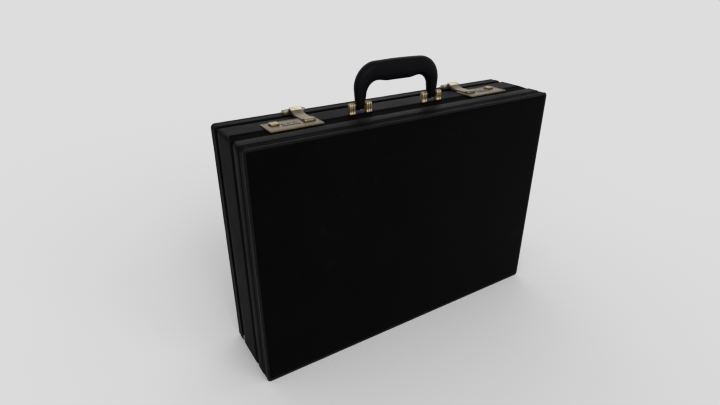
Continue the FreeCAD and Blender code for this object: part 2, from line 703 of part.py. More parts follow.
def catch_rivet(x):
    """A rivet through the catch's rear flange into the lid's top wall."""
    y = catch_near() + CATCH_DEPTH + CATCH_FLANGE / 2
    top = HEIGHT + CATCH_FLANGE_T
    return joined([rod_z(x, y, top, top + RIVET_HEAD_T, RIVET_HEAD_R),
                   rod_z(x, y, HEIGHT - WALL / 2, top, RIVET_R)])


def catch_near():
    return Y_PART + GROOVE_HALF + CATCH_NEAR


def catch_rivets():
    right = [catch_rivet(HASP_X + s * CATCH_WIDTH / 4) for s in (-1, 1)]
    return right + [mirrored(r) for r in right]


def catch():
    """The keeper on the lid, open towards the hasp."""
    x0, x1 = HASP_X - CATCH_WIDTH / 2, HASP_X + CATCH_WIDTH / 2
    y0 = catch_near()
    y1 = y0 + CATCH_DEPTH
    keeper = box(x0, x1, y0, y1, HEIGHT, HEIGHT + CATCH_RISE)
    upper = [e for e in edges_along(keeper, V(1, 0, 0)) if e.BoundBox.ZMin > HEIGHT + CATCH_ROUND]
    keeper = keeper.makeFillet(CATCH_ROUND, upper)
    mouth = box(HASP_X - CATCH_MOUTH / 2, HASP_X + CATCH_MOUTH / 2, y0, y0 + CATCH_MOUTH_DEPTH,
                HEIGHT + CATCH_FLANGE_T, HEIGHT + CATCH_RISE)
    flange = box(x0, x1, y1 - CATCH_FLANGE_T, y1 + CATCH_FLANGE, HEIGHT, HEIGHT + CATCH_FLANGE_T)
    return joined([keeper.cut(mouth), flange]).cut(Part.makeCompound(catch_rivets()))


def file_pocket():
    back = Y_FAR - FACE - LINING
    return box(-POCKET_HALF, POCKET_HALF, back - POCKET_T, back, POCKET_LOW, POCKET_HIGH)


def pen_strip():
    back = Y_FAR - FACE - LINING
    low = POCKET_HIGH + PEN_STRIP_GAP
    return box(-PEN_STRIP_HALF, PEN_STRIP_HALF, back - PEN_STRIP_T, back, low, low + PEN_STRIP_HEIGHT)


def export(name, shapes):
    """Write one node; a list becomes separate solids in one file."""
    shape = Part.makeCompound(shapes) if isinstance(shapes, list) else shapes
    shape.exportStep("parts/" + name + ".step")


def build_base():
    edge = Y_PART - GROOVE_HALF
    panel, welt, band, bottom = leather_parts(Y_NEAR, BASE_MOUTH, edge, 1)
    screws = [post_screw(x) for x in post_places()]
    through = Part.makeCompound([housing_hole(HEIGHT - 2 * WALL, PLATE_TOP)] + screws)
    export("base_panel_leather", panel)
    export("base_welt", welt)
    export("base_leather_band", band.cut(through))
    export("base_bottom_leather", bottom)
    board, top, floor, left, right = board_parts(Y_NEAR, BASE_MOUTH, Y_PART - HINGE_SET, 1)
    guides = stud_pair(stay_geometry()[0])
    export("base_panel", board)
    export("base_top_board", top.cut(through))
    export("base_bottom_board", floor.cut(Part.makeCompound(hinge_screws(-1))))
    export("base_left_board", left.cut(guides[1]))
    export("base_right_board", right.cut(guides[0]))
    cloth = lining(Y_NEAR, BASE_MOUTH, 1)
    export("base_lining", cloth.cut(housing_hole(HEIGHT - 2 * WALL, HEIGHT)).cut(Part.makeCompound(guides)))
    export("base_rim", rims()[0])
    export("stay_guide_pins", guides)


def build_lid():
    edge = Y_PART + GROOVE_HALF
    panel, welt, band, bottom = leather_parts(Y_FAR, LID_MOUTH, edge, -1)
    rivets = catch_rivets()
    through = Part.makeCompound(rivets)
    export("lid_panel_leather", panel)
    export("lid_welt", welt)
    export("lid_leather_band", band.cut(through))
    export("lid_bottom_leather", bottom)
    board, top, floor, left, right = board_parts(Y_FAR, LID_MOUTH, Y_PART + HINGE_SET, -1)
    pivots = stud_pair(stay_geometry()[1])
    export("lid_panel", board)
    export("lid_top_board", top.cut(through))
    export("lid_bottom_board", floor.cut(Part.makeCompound(hinge_screws(1))))
    export("lid_left_board", left.cut(pivots[1]))
    export("lid_right_board", right.cut(pivots[0]))
    export("lid_lining", lining(Y_FAR, LID_MOUTH, -1).cut(Part.makeCompound(pivots)))
    export("lid_rim", rims()[1])
    export("stay_pivot_pins", pivots)
    export("catch_rivets", rivets)
    export("catch_right", catch())
    export("catch_left", mirrored(catch()))
    export("lid_file_pocket", file_pocket())
    export("pen_loop_strip", pen_strip())


def build_hinge():
    export("hinge_base_leaf", hinge_leaf(-1))
    export("hinge_lid_leaf", hinge_leaf(1))
    export("hinge_base_screws", hinge_screws(-1))
    export("hinge_lid_screws", hinge_screws(1))
    reach = X_END - HINGE_END
    export("hinge_pin", rod_x(-reach, reach, Y_PART, HINGE_Z, HINGE_PIN_R))
    export("stay_left", stay_arm(-1))
    export("stay_right", stay_arm(1))


def build_handle():
    export("handle_grip", handle_grip())
    export("handle_core", handle_core())
    export("handle_pins", [handle_pin(-LEG_X), handle_pin(LEG_X)])
    export("handle_posts", [handle_post(x) for x in post_places()])
    export("handle_post_screws", [post_screw(x) for x in post_places()])


def export_pair(name, shape):
    export(name + "_right", shape)
    export(name + "_left", mirrored(shape))


def build_locks():
    export_pair("lock_plate", lock_plate())
    export_pair("lock_housing", lock_housing())
    export_pair("slide_button", slide_button())
    export_pair("hasp", hasp())
    for i in range(DIALS):
        export("dial_right_%d" % (i + 1), dial(i))
        export("dial_left_%d" % (i + 1), mirrored(dial(i)))
    export("dial_axles", [dial_axle(), mirrored(dial_axle())])
    export("hasp_pins", [hasp_pin(), mirrored(hasp_pin())])
    export("hasp_springs", [hasp_spring(), mirrored(hasp_spring())])


os.makedirs("parts", exist_ok=True)
build_base()
build_lid()
build_hinge()
build_handle()
build_locks()
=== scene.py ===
import math

import bmesh
import bpy
from mathutils import Matrix, Vector, noise


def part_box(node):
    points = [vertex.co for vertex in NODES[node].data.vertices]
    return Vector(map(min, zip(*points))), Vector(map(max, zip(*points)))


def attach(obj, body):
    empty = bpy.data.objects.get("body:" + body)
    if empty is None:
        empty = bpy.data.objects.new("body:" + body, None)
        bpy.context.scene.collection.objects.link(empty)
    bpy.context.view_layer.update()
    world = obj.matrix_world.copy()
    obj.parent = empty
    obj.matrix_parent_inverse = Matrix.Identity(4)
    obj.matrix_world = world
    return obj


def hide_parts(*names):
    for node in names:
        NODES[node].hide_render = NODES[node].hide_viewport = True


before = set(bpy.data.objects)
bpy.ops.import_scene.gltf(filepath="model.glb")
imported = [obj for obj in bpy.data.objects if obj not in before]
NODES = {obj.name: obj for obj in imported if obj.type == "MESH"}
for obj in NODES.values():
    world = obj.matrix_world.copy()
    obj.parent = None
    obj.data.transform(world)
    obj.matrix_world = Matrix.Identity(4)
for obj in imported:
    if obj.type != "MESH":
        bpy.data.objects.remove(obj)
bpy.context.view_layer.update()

MM = 0.001

# ---------------------------------------------------------------- sizes taken from the frame

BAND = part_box("base_leather_band")
X_END = BAND[1].x
TOP = BAND[1].z
Y_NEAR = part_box("base_welt")[0].y
Y_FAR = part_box("lid_welt")[1].y
BASE_EDGE = BAND[1].y
LID_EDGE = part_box("lid_leather_band")[0].y
CORNER = 5 * MM
GROOVE = 3 * MM
SKIN = 1.15 * MM
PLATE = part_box("lock_plate_right")
PLATE_TOP = PLATE[1].z


# ---------------------------------------------------------------- materials

class Tree:
    """A material's nodes, with a short method for each kind of node."""

    def __init__(self, name):
        self.mat = bpy.data.materials.new(name)
        self.mat.use_nodes = True

    def feed(self, socket, value):
        if isinstance(value, bpy.types.NodeSocket):
            self.mat.node_tree.links.new(value, socket)
        else:
            socket.default_value = (*value, 1) if socket.type == "RGBA" else value

    def add(self, kind, output, inputs, **settings):
        node = self.mat.node_tree.nodes.new("ShaderNode" + kind)
        for key, value in settings.items():
            setattr(node, key, value)
        for key, value in inputs.items():
            self.feed(node.inputs[key], value)
        return node.outputs[output]

    def coords(self, scale=(1, 1, 1)):
        return self.add("Mapping", "Vector", {"Vector": self.add("TexCoord", "Object", {}), "Scale": scale})

    def noise(self, vector, scale, detail=3.0, rough=0.55):
        return self.add("TexNoise", "Fac", {"Vector": vector, "Scale": scale, "Detail": detail,
                                            "Roughness": rough})

    def cells(self, vector, scale, feature="F1"):
        return self.add("TexVoronoi", "Distance", {"Vector": vector, "Scale": scale}, feature=feature)

    def ramp(self, value, low, high, at=(0.3, 0.7)):
        color = self.add("ValToRGB", "Color", {"Fac": value})
        for element, place, tone in zip(color.node.color_ramp.elements, at, (low, high)):
            element.position = place
            element.color = (*tone, 1)
        return color

    def spread(self, value, low, high, start=0.3, end=0.7):
        return self.add("MapRange", "Result", {"Value": value, "From Min": start, "From Max": end,
                                               "To Min": low, "To Max": high})

    def math(self, kind, a, b):
        return self.add("Math", "Value", {0: a, 1: b}, operation=kind)

    def mix(self, factor, a, b):
        return self.add("Mix", 2, {"Factor": factor, 6: a, 7: b}, data_type="RGBA")

    def bump(self, height, distance, strength, below=None):
        inputs = {"Distance": distance, "Strength": strength, "Height": height}
        return self.add("Bump", "Normal", inputs | ({"Normal": below} if below else {}))

    def shade(self, color, rough, normal, **others):
        shader = self.mat.node_tree.nodes["Principled BSDF"]
        sockets = {"Base Color": color, "Roughness": rough, "Normal": normal}
        for key, value in (sockets | {k.replace("_", " "): v for k, v in others.items()}).items():
            self.feed(shader.inputs[key], value)
        return self.mat


def leather(name, dark, light, pebble, rough, grain=0.35, spec=0.5, wear=None, wrinkle=0.0):
    """Grained leather: pebbles with creases darkened by painted shade, broad tone changes and worn, paler
    high spots.
    """
    tree = Tree(name)
    vector = tree.coords()
    broad = tree.noise(vector, 14, 4)
    warp = tree.noise(vector, pebble * 0.35, 2)
    shifted = tree.add("VectorMath", "Vector", {0: warp, 1: (0.0012, 0.0012, 0.0012), 2: vector},
                       operation="MULTIPLY_ADD")
    cells = tree.cells(shifted, pebble)
    creases = tree.cells(shifted, pebble, "DISTANCE_TO_EDGE")
    # Painted shade: the crease lines between the pebbles are darkened towards 0.55 of the dark tone.
    tone = tree.spread(creases, 0.0, 1.0, 0.0, 0.12)
    color = tree.mix(tone, tuple(c * 0.55 for c in dark), tree.ramp(broad, dark, light))
    if wear is not None:
        worn = tree.spread(tree.noise(vector, 60, 5, 0.7), 0.0, 0.55, 0.58, 0.78)
        color = tree.mix(worn, color, wear)
    rough_mix = tree.math("ADD", tree.spread(broad, rough - 0.06, rough + 0.06),
                          tree.spread(creases, 0.12, 0.0, 0.0, 0.15))
    height = tree.math("SUBTRACT", tree.spread(creases, 0, 1, 0, 0.25), tree.math("MULTIPLY", cells, 0.4))
    fine = tree.bump(tree.noise(vector, pebble * 4, 3), 0.00006, 0.5)
    normal = tree.bump(height, 0.00018, grain, fine)
    if wrinkle:
        normal = tree.bump(tree.noise(tree.coords((1, 1, 5)), 22, 3), 0.0012, wrinkle, normal)
    return tree.shade(color, rough_mix, normal, Specular_IOR_Level=spec)


def metal(name, low, high, rough, scratch=0.25, tarnish=None):
    """Satin metal with fine brushed scratches, soft stains and a little tarnish."""
    tree = Tree(name)
    vector = tree.coords()
    lines = tree.noise(tree.coords((900, 60, 60)), 6, 3)
    stains = tree.noise(vector, 90, 4, 0.6)
    color = tree.ramp(stains, low, high)
    if tarnish is not None:
        color = tree.mix(tree.spread(tree.noise(vector, 260, 3, 0.7), 0, 0.6, 0.6, 0.8), color, tarnish)
    rough_mix = tree.math("ADD", tree.spread(stains, rough - 0.05, rough + 0.08),
                          tree.spread(lines, -0.04, 0.06))
    return tree.shade(color, rough_mix, tree.bump(lines, 0.00003, scratch), Metallic=1.0)


def painted(name, color, rough):
    """Satin paint with faint stains and a fine orange peel."""
    tree = Tree(name)
    vector = tree.coords()
    stains = tree.noise(vector, 120, 4)
    tone = tree.ramp(stains, tuple(c * 0.8 for c in color), tuple(c * 1.25 for c in color))
    peel = tree.bump(tree.noise(vector, 900, 2), 0.00004, 0.3)
    return tree.shade(tone, tree.spread(stains, rough - 0.06, rough + 0.08), peel)


def suede(name, low, high):
    """Brushed cloth with a soft nap and a light sheen."""
    tree = Tree(name)
    nap = tree.noise(tree.coords((1, 1, 0.35)), 1600, 4, 0.7)
    patches = tree.noise(tree.coords(), 24, 3)
    mixed = tree.math("ADD", tree.math("MULTIPLY", patches, 0.6), tree.math("MULTIPLY", nap, 0.4))
    return tree.shade(tree.ramp(mixed, low, high, (0.35, 0.65)), tree.spread(patches, 0.82, 0.95),
                      tree.bump(nap, 0.0002, 0.5), Sheen_Weight=0.35, Sheen_Roughness=0.5)


def thread(name, low, high):
    """Twisted sewing thread."""
    tree = Tree(name)
    twist = tree.add("TexWave", "Fac", {"Scale": 900, "Vector": tree.coords()}, bands_direction="DIAGONAL")
    return tree.shade(tree.ramp(twist, low, high), 0.7, tree.bump(twist, 0.0001, 0.6),
                      Specular_IOR_Level=0.03)


def wood(name, low, high, grain_scale):
    """Plain sawn wood with stretched grain along X."""
    tree = Tree(name)
    fibre = tree.noise(tree.coords((0.08, 1, 1)), grain_scale, 5, 0.65)
    return tree.shade(tree.ramp(fibre, low, high), tree.spread(fibre, 0.55, 0.75),
                      tree.bump(fibre, 0.0003, 0.4))


LEATHER_FACE = leather("leather_face", (0.0012, 0.0010, 0.0011), (0.0020, 0.0017, 0.0018), 620, 0.5, 0.45,
                       0.012, (0.0042, 0.0038, 0.0039), 0.2)
LEATHER_BAND = leather("leather_band", (0.0016, 0.0017, 0.0026), (0.0028, 0.0030, 0.0044), 760, 0.46, 0.25,
                       0.022, (0.0055, 0.0058, 0.0075))
# Painted shade: a darker, duller leather for the channel's floor.
LEATHER_CHANNEL_SHADE = leather("leather_channel_painted_shade", (0.0010, 0.0010, 0.0012), (0.0020, 0.0020, 0.0023), 900, 0.62,
                          0.25, 0.004)
LEATHER_EDGE = leather("leather_edge", (0.0014, 0.0018, 0.0016), (0.0026, 0.0031, 0.0028), 820, 0.42, 0.25,
                       0.020, (0.0062, 0.0068, 0.0064))
LEATHER_STRIP = leather("leather_strip", (0.0010, 0.0011, 0.0011), (0.0020, 0.0022, 0.0022), 900, 0.55, 0.25,
                        0.009)
# Copies of the leathers for the case's ends: painted shade (less sheen) on the band and edge, painted light
# (a paler colour) on the seam strip.
BAND_END_SHADED = leather("leather_band_end_painted_shade", (0.0020, 0.0020, 0.0026), (0.0034, 0.0033, 0.0042), 760, 0.5, 0.25,
                   0.009)
EDGE_END_SHADED = leather("leather_edge_end_painted_shade", (0.0014, 0.0016, 0.0015), (0.0024, 0.0027, 0.0025), 820, 0.46, 0.25,
                   0.008)
STRIP_END_LIT = leather("leather_strip_end_painted_light", (0.0034, 0.0032, 0.0028), (0.0054, 0.0051, 0.0045), 900, 0.55, 0.25,
                    0.010)
LEATHER_ROLL = leather("leather_roll", (0.0014, 0.0018, 0.0016), (0.0028, 0.0034, 0.0031), 900, 0.30, 0.3,
                       0.06, (0.011, 0.0125, 0.0115))
LEATHER_HANDLE = leather("leather_handle", (0.0014, 0.0013, 0.0024), (0.0024, 0.0022, 0.0038), 950, 0.42,
                         0.2, 0.04, (0.005, 0.0048, 0.0070))
LEATHER_POCKET = leather("leather_pocket", (0.012, 0.0105, 0.0095), (0.021, 0.0185, 0.0165), 700, 0.5, 0.35,
                         0.25)
GILT = metal("gilt_brass", (0.115, 0.094, 0.064), (0.175, 0.145, 0.1), 0.32, 0.25, (0.08, 0.06, 0.036))
GILT_POST = metal("gilt_post", (0.38, 0.28, 0.155), (0.55, 0.42, 0.25), 0.3, 0.25, (0.2, 0.14, 0.07))
# Painted shade: a much darker gilt for the grooves between the posts' ribs.
GILT_GROOVE_SHADE = metal("gilt_groove_painted_shade", (0.035, 0.026, 0.015), (0.07, 0.052, 0.03), 0.45, 0.2)
GILT_PLATE = metal("gilt_plate", (0.101, 0.073, 0.043), (0.156, 0.115, 0.069), 0.33, 0.25,
                   (0.07, 0.047, 0.024))
GILT_CATCH = metal("worn_catch", (0.19, 0.155, 0.12), (0.29, 0.24, 0.19), 0.36, 0.25, (0.15, 0.1, 0.075))
# A brighter gilt: the snaps' own finish, and painted highlight where it stands on the hasp's knuckle and the
# thumb slide.
GILT_BRIGHT_AND_HIGHLIGHT = metal("gilt_bright_and_painted_highlight", (0.27, 0.215, 0.13), (0.37, 0.305, 0.19), 0.26, 0.25,
                    (0.17, 0.125, 0.07))
# Painted highlight: a near-white gilt for the hasp's upward-facing crest.
GILT_CREST_HIGHLIGHT = metal("gilt_crest_painted_highlight", (0.78, 0.68, 0.47), (0.95, 0.86, 0.64), 0.3, 0.2, (0.6, 0.5, 0.3))
GILT_DIAL = metal("dial_gilt", (0.11, 0.09, 0.06), (0.18, 0.15, 0.10), 0.34, 0.2)
DARK_STEEL = metal("dark_steel", (0.035, 0.034, 0.032), (0.075, 0.073, 0.07), 0.4, 0.4)
STEEL = metal("plain_steel", (0.38, 0.38, 0.38), (0.55, 0.55, 0.54), 0.34, 0.4)
HINGE_BRASS = metal("hinge_brass", (0.05, 0.042, 0.03), (0.09, 0.076, 0.054), 0.4, 0.35,
                    (0.03, 0.024, 0.017))
BLACK_RIM = painted("black_rim", (0.006, 0.006, 0.0065), 0.42)
INK = painted("digit_ink", (0.006, 0.006, 0.006), 0.5)
SUEDE = suede("lining_suede", (0.045, 0.036, 0.03), (0.085, 0.07, 0.058))
THREAD = thread("black_thread", (0.0015, 0.0015, 0.0015), (0.006, 0.006, 0.0065))
WOOD = wood("frame_wood", (0.30, 0.20, 0.11), (0.48, 0.35, 0.21), 260)
HARDBOARD = wood("hardboard", (0.16, 0.09, 0.05), (0.24, 0.15, 0.09), 900)


# ---------------------------------------------------------------- mesh helpers

def smooth(t):
    """A smooth step from 0 to 1, level outside that range."""
    t = min(1.0, max(0.0, t))
    return t * t * (3 - 2 * t)


def turns(count):
    """Angles spread evenly over one turn."""
    return [2 * math.pi * k / count for k in range(count)]


def circle(centre, across, up, r, count, squash=1.0):
    """Points round a centre, in the plane of two directions."""
    return [centre + across * (r * math.cos(a)) + up * (r * squash * math.sin(a)) for a in turns(count)]


def add_object(name, data):
    """An object with this data, placed in the scene."""
    thing = bpy.data.objects.new(name, data)
    bpy.context.scene.collection.objects.link(thing)
    return thing


def make_piece(name, parts, mats, body, replaces=(), sharp=40):
    """One smooth-shaded piece made of (verts, faces) parts, riding on a body of the frame."""
    verts, faces = [], []
    for part_verts, part_faces in parts:
        start = len(verts)
        verts += [tuple(p) for p in part_verts]
        faces += [tuple(i + start for i in face) for face in part_faces]
    mesh = bpy.data.meshes.new(name)
    mesh.from_pydata(verts, [], faces)
    bm = bmesh.new()
    bm.from_mesh(mesh)
    bmesh.ops.recalc_face_normals(bm, faces=bm.faces)
    limit = math.radians(sharp)
    for face in bm.faces:
        face.smooth = True
    for edge in bm.edges:
        edge.smooth = not (edge.is_manifold and edge.calc_face_angle(0) > limit)
    bm.to_mesh(mesh)
    bm.free()
    for mat in mats if isinstance(mats, list) else [mats]:
        mesh.materials.append(mat)
    piece = add_object(name, mesh)
    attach(piece, body)
    if replaces:
        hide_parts(*replaces)
    return piece


def from_bmesh(bm):
    bm.verts.index_update()
    verts = [v.co.copy() for v in bm.verts]
    faces = [[v.index for v in f.verts] for f in bm.faces]
    bm.free()
    return verts, faces


def grid_faces(rows, cols, wrap_rows=False, wrap_cols=False):
    faces = []
    for i in range(rows if wrap_rows else rows - 1):
        for j in range(cols if wrap_cols else cols - 1):
            this, after = i * cols, (i + 1) % rows * cols
            side = (j + 1) % cols
            faces.append((this + j, this + side, after + side, after + j))
    return faces


def slab(nx, nz, point):
    """A closed slab facing along Y; point(u, v, front) gives the points of its two grids."""
    rows, cols = nx + 1, nz + 1
    verts = [point(i / nx, j / nz, front)
             for front in (True, False) for i in range(rows) for j in range(cols)]
    count = rows * cols
    faces = grid_faces(rows, cols)
    faces += [tuple(count + i for i in reversed(f)) for f in faces]
    border = [i * cols for i in range(rows)] + [nx * cols + j for j in range(1, cols)]
    border += [i * cols + nz for i in range(nx - 1, -1, -1)] + list(range(nz - 1, 0, -1))
    faces += [(a, b, count + b, count + a) for a, b in zip(border, border[1:] + border[:1])]
    return verts, faces


def soft_slab(x0, x1, z0, z1, y_back, y_front, steps, shape):
    """A slab whose front stands out by shape(u, v, point) times the slab's thickness."""
    def point(u, v, front):
        p = Vector((x0 + (x1 - x0) * u, y_front if front else y_back, z0 + (z1 - z0) * v))
        if front:
            p.y += (y_front - y_back) * shape(u, v, p)
        return p

    return slab(*steps, point)


def tube(rings, closed=False):
    """A skin over rings of points; each ring is closed, and the ends are capped or joined."""
    cols = len(rings[0])
    verts = [p for ring in rings for p in ring]
    faces = grid_faces(len(rings), cols, closed, True)
    if not closed:
        faces.append(tuple(reversed(range(cols))))
        last = (len(rings) - 1) * cols
        faces.append(tuple(range(last, last + cols)))
    return verts, faces


def mirror_x(part):
    verts, faces = part
    return [Vector((-v[0], v[1], v[2])) for v in verts], [tuple(reversed(f)) for f in faces]


def sided(part, side):
    return part if side > 0 else mirror_x(part)


def bevelled(bm, width, segments=3, angle=30):
    bmesh.ops.remove_doubles(bm, verts=bm.verts, dist=1e-7)
    bmesh.ops.recalc_face_normals(bm, faces=bm.faces)
    limit = math.radians(angle)
    edges = [e for e in bm.edges if e.is_manifold and e.calc_face_angle(0) > limit]
    bmesh.ops.bevel(bm, geom=edges, offset=width, segments=segments, profile=0.6, affect="EDGES",
                    clamp_overlap=True)
    return from_bmesh(bm)


def rounded_box(lo, hi, width, segments=3):
    bm = bmesh.new()
    bmesh.ops.create_cube(bm, size=1)
    for v in bm.verts:
        v.co = Vector([lo[i] if v.co[i] < 0 else hi[i] for i in range(3)])
    return bevelled(bm, width, segments)


def prism_x(outline, x0, x1, width, segments=2, angle=25):
    """A (y, z) outline pushed along X, with its sharp edges rounded."""
    bm = bmesh.new()
    ends = [[bm.verts.new((x, y, z)) for y, z in outline] for x in (x0, x1)]
    bm.faces.new(ends[0])
    bm.faces.new(list(reversed(ends[1])))
    n = len(outline)
    for i in range(n):
        bm.faces.new((ends[0][(i + 1) % n], ends[0][i], ends[1][i], ends[1][(i + 1) % n]))
    return bevelled(bm, width, segments, angle)


def slab_cells(xs, ys, hole, z0, z1, width):
    """A flat slab cut in cells, some of them left open as windows, with rounded edges."""
    bm = bmesh.new()
    low = [[bm.verts.new((x, y, z0)) for y in ys] for x in xs]
    high = [[bm.verts.new((x, y, z1)) for y in ys] for x in xs]

    def solid(i, j):
        return 0 <= i < len(xs) - 1 and 0 <= j < len(ys) - 1 and not hole(i, j)

    for i in range(len(xs) - 1):
        for j in range(len(ys) - 1):
            if not solid(i, j):
                continue
            corners = [(i, j), (i + 1, j), (i + 1, j + 1), (i, j + 1)]
            bm.faces.new([high[a][b] for a, b in corners])
            bm.faces.new([low[a][b] for a, b in reversed(corners)])
            for k, (di, dj) in enumerate(((0, -1), (1, 0), (0, 1), (-1, 0))):
                if not solid(i + di, j + dj):
                    (a, b), (c, d) = corners[k], corners[(k + 1) % 4]
                    bm.faces.new((low[a][b], low[c][d], high[c][d], high[a][b]))
    loose = [v for v in bm.verts if not v.link_faces]
    bmesh.ops.delete(bm, geom=loose, context="VERTS")
    return bevelled(bm, width, 2)


def path_tube(points, radius, count, squash):
    """A soft tube along points that lie in a plane of constant Y."""
    rings = []
    out = Vector((0, 1, 0))
    for k, p in enumerate(points):
        along = (points[min(k + 1, len(points) - 1)] - points[max(k - 1, 0)]).normalized()
        rings.append(circle(p, along.cross(out), out, radius, count, squash))
    return tube(rings)


def stitch(p, along, up, length, radius=0.26 * MM):
    """One sewn stitch: a small bent capsule that dives at both ends."""
    along, up = along.normalized(), up.normalized()
    rings = []
    for t in (-1.0, -0.72, -0.3, 0.3, 0.72, 1.0):
        centre = p + along * (t * length / 2) + up * (radius * (0.75 - 1.7 * t * t))
        rings.append(circle(centre, along.cross(up), up, radius if abs(t) < 1 else radius * 0.35, 6))
    return tube(rings)


def row_of_stitches(a, b, up, pitch=3.6 * MM):
    along = b - a
    count = max(2, int(along.length / pitch))
    return [stitch(a + along * ((k + 0.5) / count), along, up, pitch * 0.68) for k in range(count)]


def wobble(p, size, frequency):
    """A small, repeatable unevenness."""
    return size * noise.noise(p * frequency)


# ---------------------------------------------------------------- the case's outline

CORNER_STEPS = 8
STEP = 3 * MM


def case_loop(inset):
    """Points round the case at an inset, as (x, z, outward x, outward z)."""
    r = max(CORNER - inset, 0.5 * MM)
    x_far, z_low, z_high = X_END - inset - r, inset + r, TOP - inset - r
    corners = ((x_far, z_high), (-x_far, z_high), (-x_far, z_low), (x_far, z_low))
    counts = (int(2 * X_END / STEP), int(TOP / STEP)) * 2
    loop = []
    for n, ((x0, z0), steps) in enumerate(zip(corners, counts)):
        for k in range(CORNER_STEPS + 1):
            a = math.radians(90 * n + 90 * k / CORNER_STEPS)
            out_x, out_z = math.cos(a), math.sin(a)
            loop.append((x0 + r * out_x, z0 + r * out_z, out_x, out_z))
        x1, z1 = corners[(n + 1) % 4]
        for k in range(1, steps):
            t = k / steps
            loop.append((x0 + r * out_x + (x1 - x0) * t, z0 + r * out_z + (z1 - z0) * t, out_x, out_z))
    return loop


MITRE = 4 * MM


def side_share(x, z):
    """0 on the top and bottom, 1 on the ends, changing over a mitre at each corner."""
    gap = min(z, TOP - z)
    near_end = X_END - abs(x)
    if gap < near_end and gap < CORNER * 1.2:
        return smooth(1 - near_end / MITRE)
    return 1.0


def sweep_profile(profile, wave=0.0, push=None):
    """A closed (y on top, y on the ends, inset) profile carried round the case."""
    loops = [case_loop(inset) for _, _, inset in profile]
    rings = []
    for stations in zip(*loops):
        ring = []
        for (y_top, y_side, inset), (x, z, out_x, out_z) in zip(profile, stations):
            p = Vector((x, y_top + (y_side - y_top) * side_share(x, z), z))
            depth = push(p, inset) if push else abs(wobble(p, wave, 45)) * (inset < SKIN)
            ring.append(p - Vector((out_x, 0, out_z)) * depth)
        rings.append(ring)
    return tube(rings, closed=True)


def arc_points(y, z, r, start, end, steps):
    """Points on an arc between two angles in degrees, as (y, z) or (y, inset)."""
    angles = [math.radians(start + (end - start) * k / steps) for k in range(steps + 1)]
    return [(y + r * math.cos(a), z + r * math.sin(a)) for a in angles]


def ease(y0, w0, y1, w1, steps=4):
    """A smooth shoulder between two levels."""
    return [(y0 + (y1 - y0) * k / steps, w0 + (w1 - w0) * smooth(k / steps)) for k in range(steps + 1)]


def level(y0, y1, w, count):
    """The points between two stations on one level."""
    return [(y0 + (y1 - y0) * k / count, w) for k in range(1, count)]


def flat_run(y0, y1, w, step=4 * MM):
    return level(y0, y1, w, max(2, int(abs(y1 - y0) / step)))


def same_all_round(points):
    return [(y, y, w) for y, w in points]


BEAD_R = 1.9 * MM
BEAD_INSET = 2.0 * MM
CHANNEL = 0.9 * MM
SEAM = 0.7 * MM
LIP = 1.4 * MM
BACKING = SKIN + 0.05 * MM


def shoulders(edge, fall, floor, rise, end):
    """The middle strip, the channel's fall, its floor and its rise, at four stations."""
    return (level(edge, fall, 0, 9) + ease(fall, 0, floor, CHANNEL) + level(floor, rise, CHANNEL, 5)
            + ease(rise, CHANNEL, end, 0))


def base_band():
    """The base's leather band: a middle strip, a recessed channel that paint_band darkens with painted
    shade, an edge strip and a seam strip.
    """
    lip = arc_points(BASE_EDGE - LIP, LIP, LIP, 0, -90, 5)
    lip_end = lip[-1][0]
    on_top = shoulders(lip_end, *[y * MM for y in (-1.5, -3.2, -21.5, -22.8)])
    on_ends = shoulders(lip_end, *[y * MM for y in (-14.5, -16.5, -23.5, -24.8)])
    outer = same_all_round([(BASE_EDGE, GROOVE)] + lip)
    deep = [len(outer) + k for k, (_, inset) in enumerate(on_top) if inset > 0.8 * CHANNEL]
    outer += [(y_top, y_end, inset) for (y_top, inset), (y_end, _) in zip(on_top, on_ends)]
    edge, seam, welt = -37.5 * MM, -39.2 * MM, -48 * MM
    near = flat_run(-25.5 * MM, edge, 0.0) + ease(edge, 0, seam, SEAM) + flat_run(seam, welt, SEAM, 2 * MM)
    near += ease(welt, SEAM, Y_NEAR + BEAD_INSET + MM, SKIN * 0.98)
    inner = [(Y_NEAR + 3 * MM, BACKING), (0.0, BACKING), (BASE_EDGE - 1.2 * MM, BACKING),
             (BASE_EDGE - 1.2 * MM, GROOVE)]
    return outer + same_all_round(near + inner), deep[0], deep[-1]


def lid_band():
    """The lid's leather band: one strip and a seam beside the piping."""
    lip = arc_points(LID_EDGE + LIP, LIP, LIP, 180, 270, 5)
    edge, seam, welt = 45 * MM, 46.4 * MM, 48.6 * MM
    outer = [(LID_EDGE, GROOVE)] + lip + flat_run(LID_EDGE + LIP, edge, 0.0, 2 * MM)
    outer += ease(edge, 0, seam, SEAM) + [(welt - 0.4 * MM, SEAM)]
    outer += ease(welt, SEAM, Y_FAR - BEAD_INSET - MM, SKIN * 0.98)
    inner = [(Y_FAR - 3 * MM, BACKING), (LID_EDGE + 1.2 * MM, BACKING), (LID_EDGE + 1.2 * MM, GROOVE)]
    return same_all_round(outer + inner)


def bead(face_y, toward):
    """The piping that runs round one face."""
    cy = face_y + toward * (BEAD_R + 0.1 * MM)
    return same_all_round(arc_points(cy, BEAD_INSET, BEAD_R, 0, 337.5, 15))


def paint_band(piece, columns, channel_start, channel_end):
    """Gives the channel a darker leather, which is painted shade, the edge strip and the seam strip their
    own leathers, and the ends copies with painted shade and painted light.
    """
    seam_strip = Y_NEAR + 13.6 * MM
    for poly in piece.data.polygons:
        low = min(v % columns for v in poly.vertices)
        high = max(v % columns for v in poly.vertices)
        if high - low > columns / 2:
            continue
        # The channel's faces take the darker leather: painted shade in the recess.
        if channel_start <= low and high <= channel_end:
            poly.material_index = 1
        elif low >= channel_end:
            poly.material_index = 3 if poly.center.y < seam_strip else 2
        # End faces switch to the copies with painted shade and painted light.
        poly.material_index += 4 if at_end(poly) else 0


